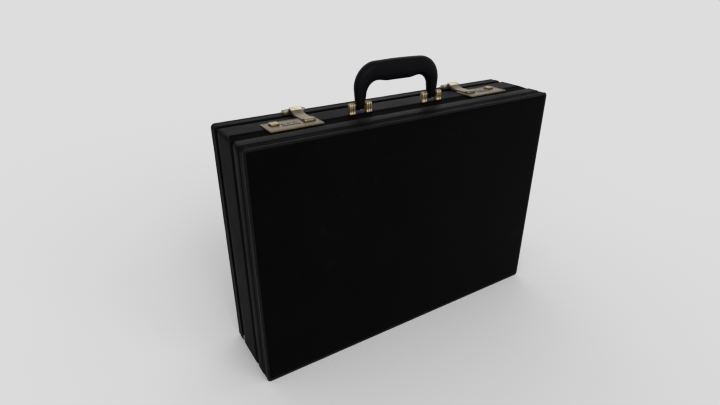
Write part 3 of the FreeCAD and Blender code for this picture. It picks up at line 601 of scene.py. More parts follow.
def at_end(poly):
    """True for the faces on the case's two ends, which take copies of the leathers with painted shade (less
    sheen) on the band, channel and edge, and painted light on the seam strip.
    """
    return abs(poly.center.x) > X_END - 2 * CORNER and abs(poly.normal.x) > abs(poly.normal.z)


def face_skin(face_y, toward):
    """The padded leather face: a slab whose front dips at its border and is gently uneven."""
    edge = 1.7 * MM
    border, fall, depth = 3.2 * MM, 7 * MM, 1.5 * MM

    def point(u, v, front):
        p = Vector(((2 * u - 1) * (X_END - edge), face_y, edge + (TOP - 2 * edge) * v))
        inset = min(X_END - abs(p.x), p.z, TOP - p.z)
        t = min(1.0, max(0.0, (inset - border) / fall))
        dip = depth * (1 - math.sqrt(1 - (1 - t) ** 2))
        rise = 0.1 * MM + dip + abs(wobble(p, 0.22 * MM, 18)) + abs(wobble(p, 0.08 * MM, 70))
        p.y += toward * (rise if front else 2.4 * MM)
        return p

    return slab(176, 122, point)


def make_shell():
    """The leather over both halves: bands round the boards, piping and padded faces."""
    profile, channel_start, channel_end = base_band()
    # Leathers by index: band, channel with painted shade, edge strip, seam strip, then the end copies: band
    # with painted shade, channel, edge with painted shade, seam strip with painted light.
    band = make_piece("base_band_skin", [sweep_profile(profile, 0.12 * MM)],
                      [LEATHER_BAND, LEATHER_CHANNEL_SHADE, LEATHER_EDGE, LEATHER_STRIP, BAND_END_SHADED, LEATHER_CHANNEL_SHADE,
                       EDGE_END_SHADED, STRIP_END_LIT], "base",
                      ("base_leather_band", "base_bottom_leather"), 60)
    paint_band(band, len(profile), channel_start, channel_end)
    band = make_piece("lid_band_skin", [sweep_profile(lid_band(), 0.1 * MM)], [LEATHER_EDGE, EDGE_END_SHADED],
                      "lid", ("lid_leather_band", "lid_bottom_leather"), 60)
    # The lid band's end faces take the edge copy with painted shade.
    for poly in band.data.polygons:
        poly.material_index = 1 if at_end(poly) else 0
    for half, face_y, toward in (("base", Y_NEAR, 1), ("lid", Y_FAR, -1)):
        make_piece(half + "_piping", [sweep_profile(bead(face_y, toward), 0.22 * MM)], LEATHER_ROLL, half,
                   (half + "_welt",), 60)
        face = make_piece(half + "_face_skin", [face_skin(face_y, toward)], LEATHER_FACE, half,
                          (half + "_panel_leather",), 60)


# ---------------------------------------------------------------- handle

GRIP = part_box("handle_grip")
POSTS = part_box("handle_posts")
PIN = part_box("handle_pins")
PIN_Z = (PIN[0].z + PIN[1].z) / 2
LEG = 15 * MM
SQUARENESS = 2.15
EYE_STEPS = 7


def handle_path():
    """Half of the arch, from the foot to the middle: (outer point, inner point, half thickness)."""
    foot, half, top = GRIP[0].z, GRIP[1].x, GRIP[1].z
    eye, foot_half = PIN_Z - foot, 5.95 * MM
    leg_x = half - LEG / 2
    r_out, r_in = 30 * MM, 16.8 * MM
    under = TOP + 37.2 * MM
    thin, thick = 6.3 * MM, 8.2 * MM
    path = []

    def add(x_out, z_out, x_in, z_in, thickness):
        path.append((Vector((x_out, 0, z_out)), Vector((x_in, 0, z_in)), thickness))

    for k in range(EYE_STEPS):
        z = foot + (eye + 3 * MM) * k / (EYE_STEPS - 1)
        round_eye = math.sqrt(eye ** 2 - min(PIN_Z - z, 0.94 * eye) ** 2) if z < PIN_Z else eye
        add(leg_x + foot_half, z, leg_x - foot_half, z, round_eye)
    start = z
    for k in range(1, 9):
        t = k / 8
        half_leg = foot_half + (LEG / 2 - foot_half) * t
        add(leg_x + half_leg, start + (top - r_out - start) * t, leg_x - half_leg,
            start + (under - r_in - start) * t, eye + (thin - eye) * t)
    crown, armpit = half - r_out, half - LEG - r_in
    for k in range(1, 13):
        a = math.radians(90 * k / 12)
        add(crown + r_out * math.cos(a), top - r_out + r_out * math.sin(a), armpit + r_in * math.cos(a),
            under - r_in + r_in * math.sin(a), thin + (thick - thin) * k / 12)
    for k in range(1, 13):
        t = k / 12
        dome, belly = 0.6 * MM * math.sin(math.pi * t / 2), 2 * MM * smooth(2 * t)
        add(crown * (1 - t), top + dome, armpit * (1 - t), under - belly, thick)
    return path


def handle_section(outer, inner, thick):
    """A rounded, slightly flat-sided section between an outer and an inner point."""
    reach = (outer - inner) / 2
    ring = []
    for a in turns(28):
        u, v = (math.copysign(abs(c) ** (2 / SQUARENESS), c) for c in (math.cos(a), math.sin(a)))
        p = (outer + inner) / 2 + reach * u + Vector((0, thick * v, 0))
        ring.append(p + reach.normalized() * wobble(p, 0.15 * MM, 60))
    return ring


def whole_path():
    """The arch from foot to foot."""
    half = handle_path()
    other = [(Vector((-o.x, 0, o.z)), Vector((-i.x, 0, i.z)), t) for o, i, t in reversed(half[:-1])]
    return half + other


def seam_line(path, side):
    """The seam on one side of the grip, nearer to its inner edge."""
    share = 0.62
    height = (1 - share ** SQUARENESS) ** (1 / SQUARENESS)
    return [outer + (inner - outer) * (0.5 + share / 2) + Vector((0, side * (thick * height + 0.05 * MM), 0))
            for outer, inner, thick in path[EYE_STEPS:-EYE_STEPS]]


def stitches_along(line, up):
    """Stitches at an even pitch along a bent line."""
    stitches = []
    gone = 0.0
    for a, b in zip(line, line[1:]):
        length = (b - a).length
        while gone < length:
            p = a + (b - a) * (gone / length)
            stitches.append(stitch(p + up * 0.3 * MM, b - a, up, 2.2 * MM))
            gone += 3.4 * MM
        gone -= length
    return stitches


def make_handle():
    path = whole_path()
    grip = make_piece("handle_leather", [tube([handle_section(*p) for p in path])], LEATHER_HANDLE, "handle",
                      ("handle_grip",), 50)
    seams, stitches = [], []
    for side in (-1, 1):
        line = seam_line(path, side)
        seams.append(path_tube(line, 0.55 * MM, 8, 0.6))
        stitches += stitches_along(line, Vector((0, side, 0)))
    make_piece("handle_seams", seams, LEATHER_HANDLE, "handle")
    make_piece("handle_stitches", stitches, THREAD, "handle")


RIBS = 3
POST_HALF = 4 * MM


def post_mesh(x_mid):
    """A post with upright ribs, each with its own round top, on a small foot flange."""
    radius = (POSTS[1].y - POSTS[0].y) / 2
    steps = RIBS * 8
    stations = [(-POST_HALF, radius - MM)]
    for k in range(steps + 1):
        t = k / steps
        wave = abs(math.sin(math.pi * RIBS * t)) ** 0.4
        stations.append(((2 * t - 1) * (POST_HALF - 0.25 * MM), radius - 1.25 * MM * (1 - wave)))
    stations.append((POST_HALF, radius - MM))
    flare = 0.35 * MM
    rings = []
    for x, r in stations:
        side = [(r + flare, TOP + 0.02 * MM), (r + flare, TOP + 1.1 * MM), (r, TOP + 1.5 * MM),
                (r, (TOP + PIN_Z) / 2)]
        outline = side + arc_points(0, PIN_Z, r, 0, 180, 14) + [(-y, z) for y, z in reversed(side)]
        rings.append([Vector((x_mid + x, y, z)) for y, z in outline])
    return tube(rings)


def make_posts():
    """Two posts beside each leg, with painted shade (a much darker gilt) in the grooves between their ribs.
    """
    leg_x = GRIP[1].x - LEG / 2
    step = POSTS[1].x - POST_HALF - leg_x
    mids = [s * (leg_x + t * step) for s in (-1, 1) for t in (-1, 1)]
    posts = make_piece("handle_post_castings", [post_mesh(mid) for mid in mids], [GILT_POST, GILT_GROOVE_SHADE],
                       "base", ("handle_posts",), 50)
    for poly in posts.data.polygons:
        mid = min(mids, key=lambda m: abs(poly.center.x - m))
        t = RIBS * (poly.center.x - mid + POST_HALF) / (2 * POST_HALF)
        # Faces in the grooves take the darker gilt, which is painted shade.
        if 0.5 < t < RIBS - 0.5 and abs(t - round(t)) < 0.16:
            poly.material_index = 1


# ---------------------------------------------------------------- locks

SIDES = {"right": 1, "left": -1}
LOCK_X = (PLATE[0].x + PLATE[1].x) / 2
HALF_L = (PLATE[1].x - PLATE[0].x) / 2
HALF_W = (PLATE[1].y - PLATE[0].y) / 2
LOCK_Y = (PLATE[1].y + PLATE[0].y) / 2
DIALS = [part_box("dial_right_%d" % (i + 1)) for i in range(3)]
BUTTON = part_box("slide_button_right")
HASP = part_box("hasp_right")
HASP_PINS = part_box("hasp_pins")
HASP_PIN_Z = (HASP_PINS[0].z + HASP_PINS[1].z) / 2
HASP_PIN_Y = (HASP_PINS[0].y + HASP_PINS[1].y) / 2
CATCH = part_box("catch_right")
BUTTON_MID_Y = (BUTTON[0].y + BUTTON[1].y) / 2


def lock_plate_parts():
    """The plate's skin with its windows, a raised border and a rolled skirt."""
    dial_r = (DIALS[0][1].z - DIALS[0][0].z) / 2
    dial_z = (DIALS[0][1].z + DIALS[0][0].z) / 2
    gap, knuckle, neck = 0.35 * MM, 3.55 * MM, 3.2 * MM
    chord = math.sqrt(dial_r ** 2 - (PLATE_TOP - MM - dial_z) ** 2) + gap
    mid = (BUTTON[0].x + BUTTON[1].x) / 2
    windows = [(lo.x - gap, hi.x + gap, LOCK_Y - chord, LOCK_Y + chord) for lo, hi in DIALS]
    windows += [(HASP[0].x - gap, HASP[1].x + gap, HASP_PIN_Y - knuckle, HASP_PIN_Y + knuckle),
                (mid - 2.7 * MM, mid + 6.7 * MM, BUTTON_MID_Y - neck, BUTTON_MID_Y + neck)]
    xs = sorted({LOCK_X - HALF_L, LOCK_X + HALF_L} | {x for w in windows for x in w[:2]})
    ys = sorted({round(y, 7) for w in windows + [(0, 0, LOCK_Y - HALF_W, LOCK_Y + HALF_W)] for y in w[2:]})

    def hole(i, j):
        x, y = (xs[i] + xs[i + 1]) / 2, (ys[j] + ys[j + 1]) / 2
        return any(w[0] < x < w[1] and w[2] < y < w[3] for w in windows)

    skin = slab_cells(xs, ys, hole, PLATE_TOP - MM, PLATE_TOP, 0.18 * MM)
    skirt = rounded_frame(HALF_L + 0.12 * MM, HALF_W + 0.12 * MM, TOP, PLATE_TOP - 0.25 * MM)
    return [skin, skirt, plate_border()]


def frame_ring(half_l, half_w, r, z):
    points = []
    for sx, sy, start in ((1, 1, 0), (-1, 1, 90), (-1, -1, 180), (1, -1, 270)):
        for k in range(6):
            a = math.radians(start + 18 * k)
            points.append(Vector((LOCK_X + sx * (half_l - r) + r * math.cos(a),
                                  LOCK_Y + sy * (half_w - r) + r * math.sin(a), z)))
    return points


def rounded_frame(half_l, half_w, z0, z1):
    """The plate's skirt: a thin upright frame with a rounded shoulder."""
    r, wall = 1.2 * MM, 1.1 * MM
    steps = [(0, z0), (0, z1 - 0.3 * MM), (0.1 * MM, z1 - 0.08 * MM), (0.35 * MM, z1), (wall, z1),
             (wall, z0)]
    return tube([frame_ring(half_l - d, half_w - d, max(r - d, 0.3 * MM), z) for d, z in steps], closed=True)


def plate_border():
    """A fine raised line inside the plate's edge."""
    inset, r, height = 1.7 * MM, 0.3 * MM, 0.21 * MM
    rings = []
    for a in turns(8):
        grow = r * math.cos(a)
        rings.append(frame_ring(HALF_L - inset + grow, HALF_W - inset + grow, MM + grow,
                                PLATE_TOP + 0.02 * MM + height * math.sin(a)))
    return tube(rings, closed=True)


FLAT = 0.955


def wheel_shape(lo, hi):
    """A wheel's axis (y, z) and its radius."""
    return (lo.y + hi.y) / 2, (lo.z + hi.z) / 2, (hi.z - lo.z) / 2


def flats(angle):
    """The wheel's radius as a share: ten flats with a ridge between neighbours."""
    turn = (math.degrees(angle) - 90) % 36
    off = min(turn, 36 - turn)
    if off > 14.5:
        return 0.988 if off < 15.5 else 1.0
    return min(FLAT / math.cos(math.radians(min(off, 13))), 1.0)


def dial_wheel(lo, hi):
    """A number wheel: ten flats between ridges, with a chamfered drum and a bore."""
    y, z, r = wheel_shape(lo, hi)
    bore, chamfer = 1.6 * MM, 0.4 * MM
    profile = [(lo.x, bore), (lo.x, r * 0.9), (lo.x + chamfer, r), (hi.x - chamfer, r), (hi.x, r * 0.9),
               (hi.x, bore)]
    rings = []
    for x, radius in profile:
        reach = [(a, radius * (flats(a) if radius > bore else 1)) for a in turns(120)]
        rings.append([Vector((x, y + q * math.cos(a), z + q * math.sin(a))) for a, q in reach])
    return tube(rings, closed=True)


def digit_parts(lo, hi, offset, side):
    """Ten engraved digits round a wheel, one on each flat."""
    y, z, r = wheel_shape(lo, hi)
    x = side * (lo.x + hi.x) / 2
    parts = []
    for k in range(10):
        curve = bpy.data.curves.new("digit", "FONT")
        curve.body = str((k + offset) % 10)
        curve.size = 4.4 * MM
        curve.align_x = "CENTER"
        curve.align_y = "CENTER"
        curve.extrude = 0.06 * MM
        curve.resolution_u = 3
        text = bpy.data.objects.new("digit", curve)
        mesh = bpy.data.meshes.new_from_object(text)
        turn = Matrix.Rotation(math.radians(-36 * k), 4, "X")
        place = Matrix.Translation((x, y, z)) @ turn @ Matrix.Translation((0, 0, FLAT * r))
        parts.append(([place @ v.co for v in mesh.vertices], [tuple(p.vertices) for p in mesh.polygons]))
        bpy.data.objects.remove(text)
        bpy.data.curves.remove(curve)
        bpy.data.meshes.remove(mesh)
    return parts


def button_parts():
    """The thumb pad with grip ridges, its neck and its foot."""
    x0, x1 = BUTTON[0].x, BUTTON[1].x
    y0, y1 = BUTTON[0].y + 0.8 * MM, BUTTON[1].y - 0.8 * MM
    z0, z1 = PLATE_TOP + 0.2 * MM, BUTTON[1].z - 0.5 * MM
    low, middle = BUTTON[0].z, (x0 + x1) / 2
    shoulder = [(0, z1 - 0.7 * MM), (0.25 * MM, z1 - 0.2 * MM), (0.8 * MM, z1)]
    outline = [(x0, z0)] + [(x0 + d, z) for d, z in shoulder]
    ridges, groove, margin = 4, 0.38 * MM, 2.2 * MM
    for k in range(ridges):
        c = x0 + margin + (x1 - x0 - 2 * margin) * k / (ridges - 1)
        outline += [(c - 0.55 * MM, z1), (c, z1 - groove), (c + 0.55 * MM, z1)]
    outline += [(x1 - d, z) for d, z in reversed(shoulder)] + [(x1, z0)]
    verts, faces = prism_x([(-x, z) for x, z in outline], y0, y1, 0.18 * MM, 2, 20)
    pad = ([Vector((-v[1], v[0], v[2])) for v in verts], [tuple(reversed(f)) for f in faces])

    def block(xa, xb, half, za, zb):
        return rounded_box((xa, BUTTON_MID_Y - half, za), (xb, BUTTON_MID_Y + half, zb), 0.2 * MM)

    neck = block(middle - 2.5 * MM, middle + 2.5 * MM, 3 * MM, low + MM, z0 + MM)
    return [pad, neck, block(x0, x1, 4.5 * MM, low, low + 1.6 * MM)]


def smooth_line(points, steps):
    """A Catmull-Rom line through a few points."""
    line = []
    for k in range(len(points) - 1):
        p0, p1, p2, p3 = (Vector(points[min(max(k + d, 0), len(points) - 1)]) for d in (-1, 0, 1, 2))
        for s in range(steps):
            t = s / steps
            line.append(0.5 * (2 * p1 + (p2 - p0) * t + (2 * p0 - 5 * p1 + 4 * p2 - p3) * t * t
                               + (3 * p1 - p0 - 3 * p2 + p3) * t ** 3))
    line.append(Vector(points[-1]))
    return line


def hasp_line():
    """The strap's upper line from the knuckle to the curled tip, as (y, z)."""
    flat, crest, tip_y = PLATE_TOP + 1.6 * MM, HASP[1].z, HASP[1].y
    points = arc_points(HASP_PIN_Y, HASP_PIN_Z, 3.2 * MM, 185, 60, 5)
    for reach, rise in ((4.2, 0.3), (9, 0), (17, 0), (24, 0.1), (30.5, 2.3)):
        points.append((HASP_PIN_Y + reach * MM, flat + rise * MM))
    for back, drop in ((5.4, 0.7), (3.4, 0), (1.0, 0.8), (0, 2.6)):
        points.append((tip_y - back * MM, crest - drop * MM))
    return smooth_line(points, 5)


FLANGE_START = PLATE[1].y + 1.2 * MM
FLANGE_END = 36.0 * MM
FLANGE_LOW = TOP + 0.7 * MM
CHEEK = 1.9 * MM


def flange_share(y):
    """How far the side flanges reach down at a given Y, from 0 to 1."""
    cut = 0.6 * MM
    return smooth(min((y - FLANGE_START) / (4 * MM), (FLANGE_END + cut - y) / cut))


def hasp_parts():
    """The strap with rolled edges and side flanges, and its two cheeks on the pin."""
    line = hasp_line()
    x0, x1 = HASP[0].x, HASP[1].x
    sheet, wall, crown = 1.25 * MM, 1.1 * MM, 0.16 * MM
    edge = [(0, -0.5 * MM), (0.15 * MM, -0.15 * MM), (0.5 * MM, 0), (2.5 * MM, 0.12 * MM)]
    top = [(x0 + d, h) for d, h in edge] + [((x0 + x1) / 2, crown)]
    top += [(x1 - d, h) for d, h in reversed(edge)]
    rings = []
    for k, (y, z) in enumerate(line):
        before, after = line[max(k - 1, 0)], line[min(k + 1, len(line) - 1)]
        along = Vector((0, after[0] - before[0], after[1] - before[1])).normalized()
        up = Vector((1, 0, 0)).cross(along)
        p = Vector((0, y, z))
        under = p - up * (sheet + crown)
        low = under + Vector((0, 0, (FLANGE_LOW - under.z) * flange_share(under.y)))
        half_low = (under + low) / 2
        flanges = [(half_low, x1), (low, x1), (low, x1 - wall), (under, x1 - wall), (under, x0 + wall),
                   (low, x0 + wall)]
        ring = [q + Vector((x0, 0, 0)) for q in (low, half_low)]
        ring += [p + Vector((x, 0, 0)) + up * (h - crown) for x, h in top]
        rings.append(ring + [q + Vector((x, 0, 0)) for q, x in flanges])
    return [tube(rings), hasp_cheek(x0), hasp_cheek(x1 - CHEEK)]


def hasp_cheek(x):
    """One of the two bored discs that hold the strap on its pin."""
    outer, bore, chamfer = 2.95 * MM, 1.05 * MM, 0.3 * MM
    profile = [(0, bore), (0, outer - chamfer), (chamfer, outer), (CHEEK - chamfer, outer),
               (CHEEK, outer - chamfer), (CHEEK, bore)]
    across, up = Vector((0, 1, 0)), Vector((0, 0, 1))
    return tube([circle(Vector((x + d, HASP_PIN_Y, HASP_PIN_Z)), across, up, r, 32) for d, r in profile],
                closed=True)


def paint_crest_highlight(piece):
    """Painted highlights: the upward-facing crest takes a near-white gilt and the top of the knuckle a
    brighter gilt.
    """
    for poly in piece.data.polygons:
        # Upward-facing faces near the crest and the knuckle's top are chosen for painted highlights.
        crest = poly.center.z > HASP[1].z - 2.2 * MM and poly.normal.z > 0.2 and poly.normal.y < 0.35
        knuckle = poly.center.y < HASP_PIN_Y + MM and poly.center.z > HASP_PIN_Z + 2.4 * MM
        poly.material_index = 2 if crest else int(knuckle)


def catch_parts():
    """The keeper: a folded block with a rounded back, an open mouth and a rear flange."""
    x0, x1 = CATCH[0].x, CATCH[1].x
    y0, z0, z1 = CATCH[0].y, CATCH[0].z, CATCH[1].z
    y1, y_mouth = y0 + 8.2 * MM, y0 + 3.6 * MM
    half_mouth, overlap = 8 * MM, 0.3 * MM
    mid = (x0 + x1) / 2
    outline = [(y0, z0), (y0, z1 - 0.9 * MM), (y0 + 0.3 * MM, z1 - 0.25 * MM), (y0 + MM, z1),
               (y1 - 2.2 * MM, z1), (y1 - 0.9 * MM, z1 - 0.4 * MM), (y1 - 0.2 * MM, z1 - 1.6 * MM), (y1, z0)]
    back = [(y_mouth, z0), (y_mouth, z1)] + outline[4:]
    flange = rounded_box((x0 + 0.3 * MM, y0 + 0.2 * MM, z0), (x1 - 0.3 * MM, CATCH[1].y, z0 + MM), 0.2 * MM)
    return [prism_x(outline, x0, mid - half_mouth, 0.18 * MM),
            prism_x(outline, mid + half_mouth, x1, 0.18 * MM),
            prism_x(back, mid - half_mouth - overlap, mid + half_mouth + overlap, 0.12 * MM), flange]


def lock_piece(title, name, parts, mats, body, node, sharp=35):
    """A gilt piece of one lock; the parts are modelled for the right lock and mirrored for the left."""
    return make_piece(title + "_" + name, [sided(part, SIDES[name]) for part in parts], mats, body,
                      (node + "_" + name,), sharp)


def make_locks():
    """Plate, button, hasp, catch and number wheels on each side of the handle."""
    for name, side in SIDES.items():
        lock_piece("lock_face", name, lock_plate_parts(), GILT_PLATE, "base", "lock_plate")
        # The thumb slide's brighter gilt stands partly for the highlight on it: painted highlight.
        lock_piece("thumb_slide", name, button_parts(), GILT_BRIGHT_AND_HIGHLIGHT, "slide_" + name, "slide_button")
        # The strap's second and third metals are painted highlights on the knuckle and the crest.
        strap_metals = [GILT, GILT_BRIGHT_AND_HIGHLIGHT, GILT_CREST_HIGHLIGHT]
        strap = lock_piece("hasp_strap", name, hasp_parts(), strap_metals, "hasp_" + name, "hasp", 45)
        paint_crest_highlight(strap)
        lock_piece("catch_block", name, catch_parts(), GILT_CATCH, "lid", "catch")
        for i, (lo, hi) in enumerate(DIALS):
            number = "_%s_%d" % (name, i + 1)
            make_piece("wheel" + number, [sided(dial_wheel(lo, hi), side)], GILT_DIAL, "dial" + number,
                       ("dial" + number,), 25)
            make_piece("digits" + number, digit_parts(lo, hi, 3 * i + 2, side), INK, "dial" + number)


# ---------------------------------------------------------------- inside

def lining_walls(y_floor, y_mouth):
    """The cloth on the inner walls: a thin band with a soft fold at the mouth."""
    toward = 1 if y_mouth > y_floor else -1
    outer, inner, fold = 9.25 * MM, 10 * MM, 0.35 * MM
    profile = [(y_floor, outer), (y_mouth - toward * 0.3 * MM, outer), (y_mouth, (outer + inner) / 2),
               (y_mouth - toward * fold, inner)]
    profile += [(y_mouth + (y_floor - y_mouth) * k / 9, inner) for k in range(1, 10)]

    def ripple(p, inset):
        return 0.2 * MM * noise.noise(Vector((p.x, p.y * 0.5, p.z)) * 22) if inset > outer else 0.0

    return sweep_profile(same_all_round(profile), push=ripple)


def soft_rise(u, v, p):
    """A soft surface that drops at its border and is gently uneven."""
    edge = min(u, v, 1 - u, 1 - v)
    drop = -0.5 * max(0.0, 1 - edge * 60) ** 2
    return drop + 0.35 * noise.noise(p * 14) + 0.1 * noise.noise(p * 60)


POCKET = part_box("lid_file_pocket")
POCKET_X0, POCKET_X1 = POCKET[0].x + 2 * MM, POCKET[1].x - 2 * MM
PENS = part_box("pen_loop_strip")
CARDS_X0, CARDS_X1 = 55 * MM, 150 * MM
CARDS_Z0, CARDS_Z1 = 75 * MM, 160 * MM


def pocket_top(u):
    """The pocket's upper edge dips in the middle so that papers can be reached."""
    return POCKET[1].z - 3 * MM - 20 * MM * smooth((0.22 - abs(u - 0.5)) / 0.1)


def pocket_panel():
    """The pocket's front: a thin leather sheet that bows out a little and ends in a dipped top edge."""
    z0 = POCKET[0].z + 1.5 * MM

    def point(u, v, front):
        bow = 0.9 * MM * math.sin(math.pi * u) ** 0.6 * math.sin(math.pi * v * 0.6)
        y = POCKET[0].y + 1.5 * MM - bow + (0 if front else 1.1 * MM)
        p = Vector((POCKET_X0 + (POCKET_X1 - POCKET_X0) * u, y, z0 + (pocket_top(u) - z0) * v))
        p.y += 0.12 * MM * noise.noise(Vector((p.x, 0, p.z)) * 18)
        return p

    return slab(72, 44, point)


def pocket_gusset():
    """The folded gusset down both sides and along the bottom."""
    back, front = POCKET[1].y - 0.15 * MM, POCKET[0].y + 2.4 * MM
    folds = [(back, 0.0), (back, 5.0), (back - 0.5 * MM, 5.6), (front + 1.7 * MM, 1.2),
             (front + 1.2 * MM, 0.8), (front + 0.5 * MM, 5.2), (front, 5.4), (front, 0.0),
             (front + 0.5 * MM, -0.6), (back - 0.6 * MM, -0.6)]
    x, z0, z1 = POCKET[1].x - 2.4 * MM, POCKET[0].z + 2.4 * MM, POCKET[1].z - 4 * MM
    bend, cut = 6 * MM, 1.8 * MM
    half = [(-x, z1, 1, 0), (-x, (z0 + z1) / 2, 1, 0), (-x, z0 + bend, 1, 0), (-x + cut, z0 + cut, 0.7, 0.7),
            (-x + bend, z0, 0, 1)]
    line = half + [(0, z0, 0, 1)] + [(-px, pz, -nx, nz) for px, pz, nx, nz in reversed(half)]
    return tube([[Vector((px + nx * w * MM, y, pz + nz * w * MM)) for y, w in folds]
                 for px, pz, nx, nz in line])


def small_pocket(x0, x1, y):
    """A card pocket on the front of the file pocket, and its flap."""
    def uneven(u, v, p):
        return 0.5 * math.sin(math.pi * u) * math.sin(math.pi * v) + 0.15 * noise.noise(p * 40)

    def rolled(_, v, p):
        return 0.4 * math.sin(math.pi * v) + 0.15 * noise.noise(p * 40)

    panel = soft_slab(x0, x1, CARDS_Z0, CARDS_Z1, y, y - 0.7 * MM, (24, 20), uneven)
    flap = soft_slab(x0 - MM, x1 + MM, CARDS_Z1 - 22 * MM, CARDS_Z1 + 6 * MM, y - 0.75 * MM, y - 1.35 * MM,
                     (24, 12), rolled)
    return panel, flap


def dome_snap(x, y, z, r):
    """A pressed snap fastener facing -Y."""
    profile = [(0.0, r), (0.25 * MM, r), (0.45 * MM, r * 0.86), (0.5 * MM, r * 0.6), (0.85 * MM, r * 0.5),
               (MM, r * 0.3), (1.05 * MM, 0.04 * MM)]
    across, up = Vector((1, 0, 0)), Vector((0, 0, 1))
    return tube([circle(Vector((x, y - height, z)), across, up, radius, 28) for height, radius in profile])


def pen_loops():
    """A sewn strip whose leather stands up in a row of loops, its backing and its seams."""
    x0, x1, z0, z1 = PENS[0].x, PENS[1].x, PENS[0].z, PENS[1].z
    back, front = PENS[1].y, PENS[0].y + 0.15 * MM
    base, loops, flat = back - 1.3 * MM, 5, 5.5 * MM
    pitch = (x1 - x0 - flat) / loops
    line = [(x0, base)]
    for n in range(loops):
        for k in range(15):
            a = math.pi * k / 14
            line.append((x0 + flat + n * pitch + (pitch - flat) * (0.5 - 0.5 * math.cos(a)),
                         base - (base - front) * math.sin(a) ** 0.7))
    line.append((x1, base))
    leather_edge = 0.6 * MM
    section = [(z0 + leather_edge, 0.12), (z0, 0.5), (z0 + leather_edge, 0.88),
               (z1 - leather_edge, 0.88), (z1, 0.5), (z1 - leather_edge, 0.12)]
    strip = tube([[Vector((x, y + depth * 0.85 * MM, z)) for z, depth in section] for x, y in line])
    backing = rounded_box((x0 - MM, back - 0.5 * MM, z0 - MM), (x1 + MM, back, z1 + MM), 0.2 * MM)
    seams = []
    for n in range(loops + 1):
        x, y = x0 + flat / 2 + n * pitch, back - 1.45 * MM
        seams += row_of_stitches(Vector((x, y, z0 + MM)), Vector((x, y, z1 - MM)), Vector((0, -1, 0)),
                                 2.6 * MM)
    return strip, backing, seams


def make_linings():
    """Cloth on the inner walls and the inner face of each half."""
    edge = 9.5 * MM
    for half, inner, toward in (("base", Y_NEAR + 5 * MM, 1), ("lid", Y_FAR - 5 * MM, -1)):
        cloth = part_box(half + "_lining")
        mouth = cloth[1].y if toward > 0 else cloth[0].y
        walls = make_piece(half + "_lining_walls", [lining_walls(inner - toward * 0.7 * MM, mouth)], SUEDE,
                           half, (half + "_lining",), 60)
        floor = soft_slab(edge - X_END, X_END - edge, edge, TOP - edge, inner - toward * 0.75 * MM, inner,
                          (90, 62), soft_rise)
        pad = make_piece(half + "_lining_face", [floor], SUEDE, half, (), 60)


def organiser(name, parts, mat=LEATHER_POCKET, replaces=(), sharp=60):
    """A leather piece of the lid's organiser."""
    return make_piece(name, parts, mat, "lid", replaces, sharp)


def make_pockets():
    """The file pocket in the lid with two card pockets on its front."""
    y = POCKET[0].y
    panel = organiser("file_pocket_front", [pocket_panel()], replaces=("lid_file_pocket",))
    organiser("file_pocket_gusset", [pocket_gusset()], sharp=35)
    steps = 96
    hem = [Vector((POCKET_X0 + (POCKET_X1 - POCKET_X0) * k / steps, y + 1.7 * MM, pocket_top(k / steps)))
           for k in range(steps + 1)]
    organiser("file_pocket_binding", [path_tube(hem, 1.5 * MM, 12, 0.8)], LEATHER_HANDLE)
    front = y + 0.95 * MM
    left, left_flap = small_pocket(-CARDS_X1, -CARDS_X0, front)
    right, right_flap = small_pocket(CARDS_X0, CARDS_X1, front)
    cards = organiser("card_pockets", [left, right])
    flaps = organiser("card_pocket_flaps", [left_flap, right_flap])
    snap_x, snap_z = (CARDS_X0 + CARDS_X1) / 2, CARDS_Z1 - 14 * MM
    snaps = [dome_snap(side * snap_x, y - 0.25 * MM, snap_z, 4 * MM) for side in (-1, 1)]
    make_piece("card_pocket_snaps", snaps, GILT_BRIGHT_AND_HIGHLIGHT, "lid")


def pocket_stitches():
    """The stitches round both card pockets and along the file pocket's sides and bottom."""
    rows = []

    def sew(x0, x1, z0, z1, depth):
        y = POCKET[0].y + depth
        rows.extend(row_of_stitches(Vector((x0, y, z0)), Vector((x1, y, z1)), Vector((0, -1, 0))))

    on_cards, side_hem, low_hem = 0.2 * MM, 1.3 * MM, 1.2 * MM
    for side in (-1, 1):
        for x in (CARDS_X0 + 1.5 * MM, CARDS_X1 - 1.5 * MM):
            sew(side * x, side * x, CARDS_Z0 + 2 * MM, CARDS_Z1 - 24 * MM, on_cards)
        low = CARDS_Z0 + 1.8 * MM
        sew(side * (CARDS_X0 + 2.5 * MM), side * (CARDS_X1 - 2.5 * MM), low, low, on_cards)
    for x in (POCKET_X0 + 3 * MM, POCKET_X1 - 3 * MM):
        sew(x, x, POCKET[0].z + 5 * MM, POCKET[1].z - 8 * MM, side_hem)
    bottom = POCKET[0].z + 4 * MM
    sew(POCKET_X0 + 4 * MM, POCKET_X1 - 4 * MM, bottom, bottom, low_hem)
    return rows


def make_pen_loops():
    strip, backing, seams = pen_loops()
    loops = organiser("pen_loops", [strip], replaces=("pen_loop_strip",))
    organiser("pen_loop_backing", [backing], sharp=40)
    make_piece("organiser_stitches", pocket_stitches() + seams, THREAD, "lid")


# ---------------------------------------------------------------- CAD nodes that are shown as they are

BOARDS = [half + "_" + side + "_board" for half in ("base", "lid")
          for side in ("top", "bottom", "left", "right")]
KEPT = (
    (WOOD, BOARDS),
    (HARDBOARD, ("base_panel", "lid_panel")),
    (BLACK_RIM, ("base_rim", "lid_rim")),
    (STEEL, ("handle_core", "handle_post_screws", "hinge_base_screws", "hinge_lid_screws", "hinge_pin",
             "dial_axles", "hasp_pins", "hasp_springs")),
    (DARK_STEEL, ("lock_housing_left", "lock_housing_right", "handle_pins")),
    (HINGE_BRASS, ("hinge_base_leaf", "hinge_lid_leaf")),
    (GILT, ("stay_left", "stay_right", "stay_guide_pins", "stay_pivot_pins", "catch_rivets")),
)


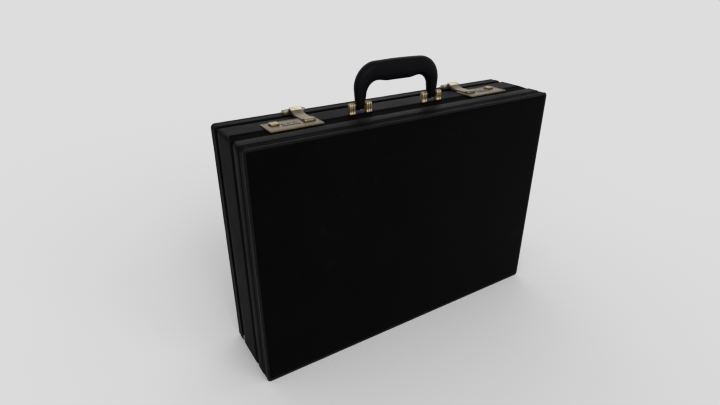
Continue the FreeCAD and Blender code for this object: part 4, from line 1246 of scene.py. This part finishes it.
def dress_kept_nodes():
    for mat, names in KEPT:
        for name in names:
            materials = NODES[name].data.materials
            materials.clear()
            materials.append(mat)


# ---------------------------------------------------------------- camera, light and floor

def make_camera():
    """The camera that stands where the photograph's camera stood."""
    azimuth, elevation, distance = math.radians(-32.067), math.radians(26.217), 0.65411
    back = Vector((math.sin(azimuth) * math.cos(elevation), -math.cos(azimuth) * math.cos(elevation),
                   math.sin(elevation)))
    target = Vector((-0.05548, 0, 0.18705))
    data = bpy.data.cameras.new("camera")
    data.sensor_width = 36
    data.lens = 24.444
    data.clip_start = 0.01
    camera = add_object("camera", data)
    camera.location = target + back * distance
    camera.rotation_mode = "QUATERNION"
    camera.rotation_quaternion = (-back).to_track_quat("-Z", "Y")
    bpy.context.scene.camera = camera


def area_light(name, place, aim, size, power):
    data = bpy.data.lights.new(name, "AREA")
    data.shape = "RECTANGLE"
    data.size, data.size_y = size
    data.energy = power
    lamp = add_object(name, data)
    lamp.visible_camera = False
    lamp.location = place
    lamp.rotation_euler = (Vector(aim) - Vector(place)).to_track_quat("-Z", "Y").to_euler()


def make_stage():
    """An even grey studio: a floor that shows only shadows, and three soft boxes."""
    scene = bpy.context.scene
    scene.view_settings.view_transform = "Standard"
    world = bpy.data.worlds.new("studio")
    scene.world = world
    world.use_nodes = True
    background = world.node_tree.nodes["Background"]
    background.inputs["Color"].default_value = (0.723, 0.723, 0.723, 1)
    background.inputs["Strength"].default_value = 1.0
    bpy.ops.mesh.primitive_plane_add(size=24)
    floor = bpy.context.object
    floor.name = "floor"
    floor.is_shadow_catcher = True
    area_light("back_softbox", (0.9, 2.2, 1.75), (0, 0, 0.3), (3.2, 2.0), 12)
    area_light("left_softbox", (-1.05, -2.8, 2.2), (0, 0, 0.1), (2.4, 2.4), 56)
    area_light("right_softbox", (0.7, -2.9, 2.2), (0, 0, 0.1), (2.4, 2.4), 40)


make_camera()
make_stage()
dress_kept_nodes()
make_shell()
make_handle()
make_posts()
make_locks()
make_linings()
make_pockets()
make_pen_loops()
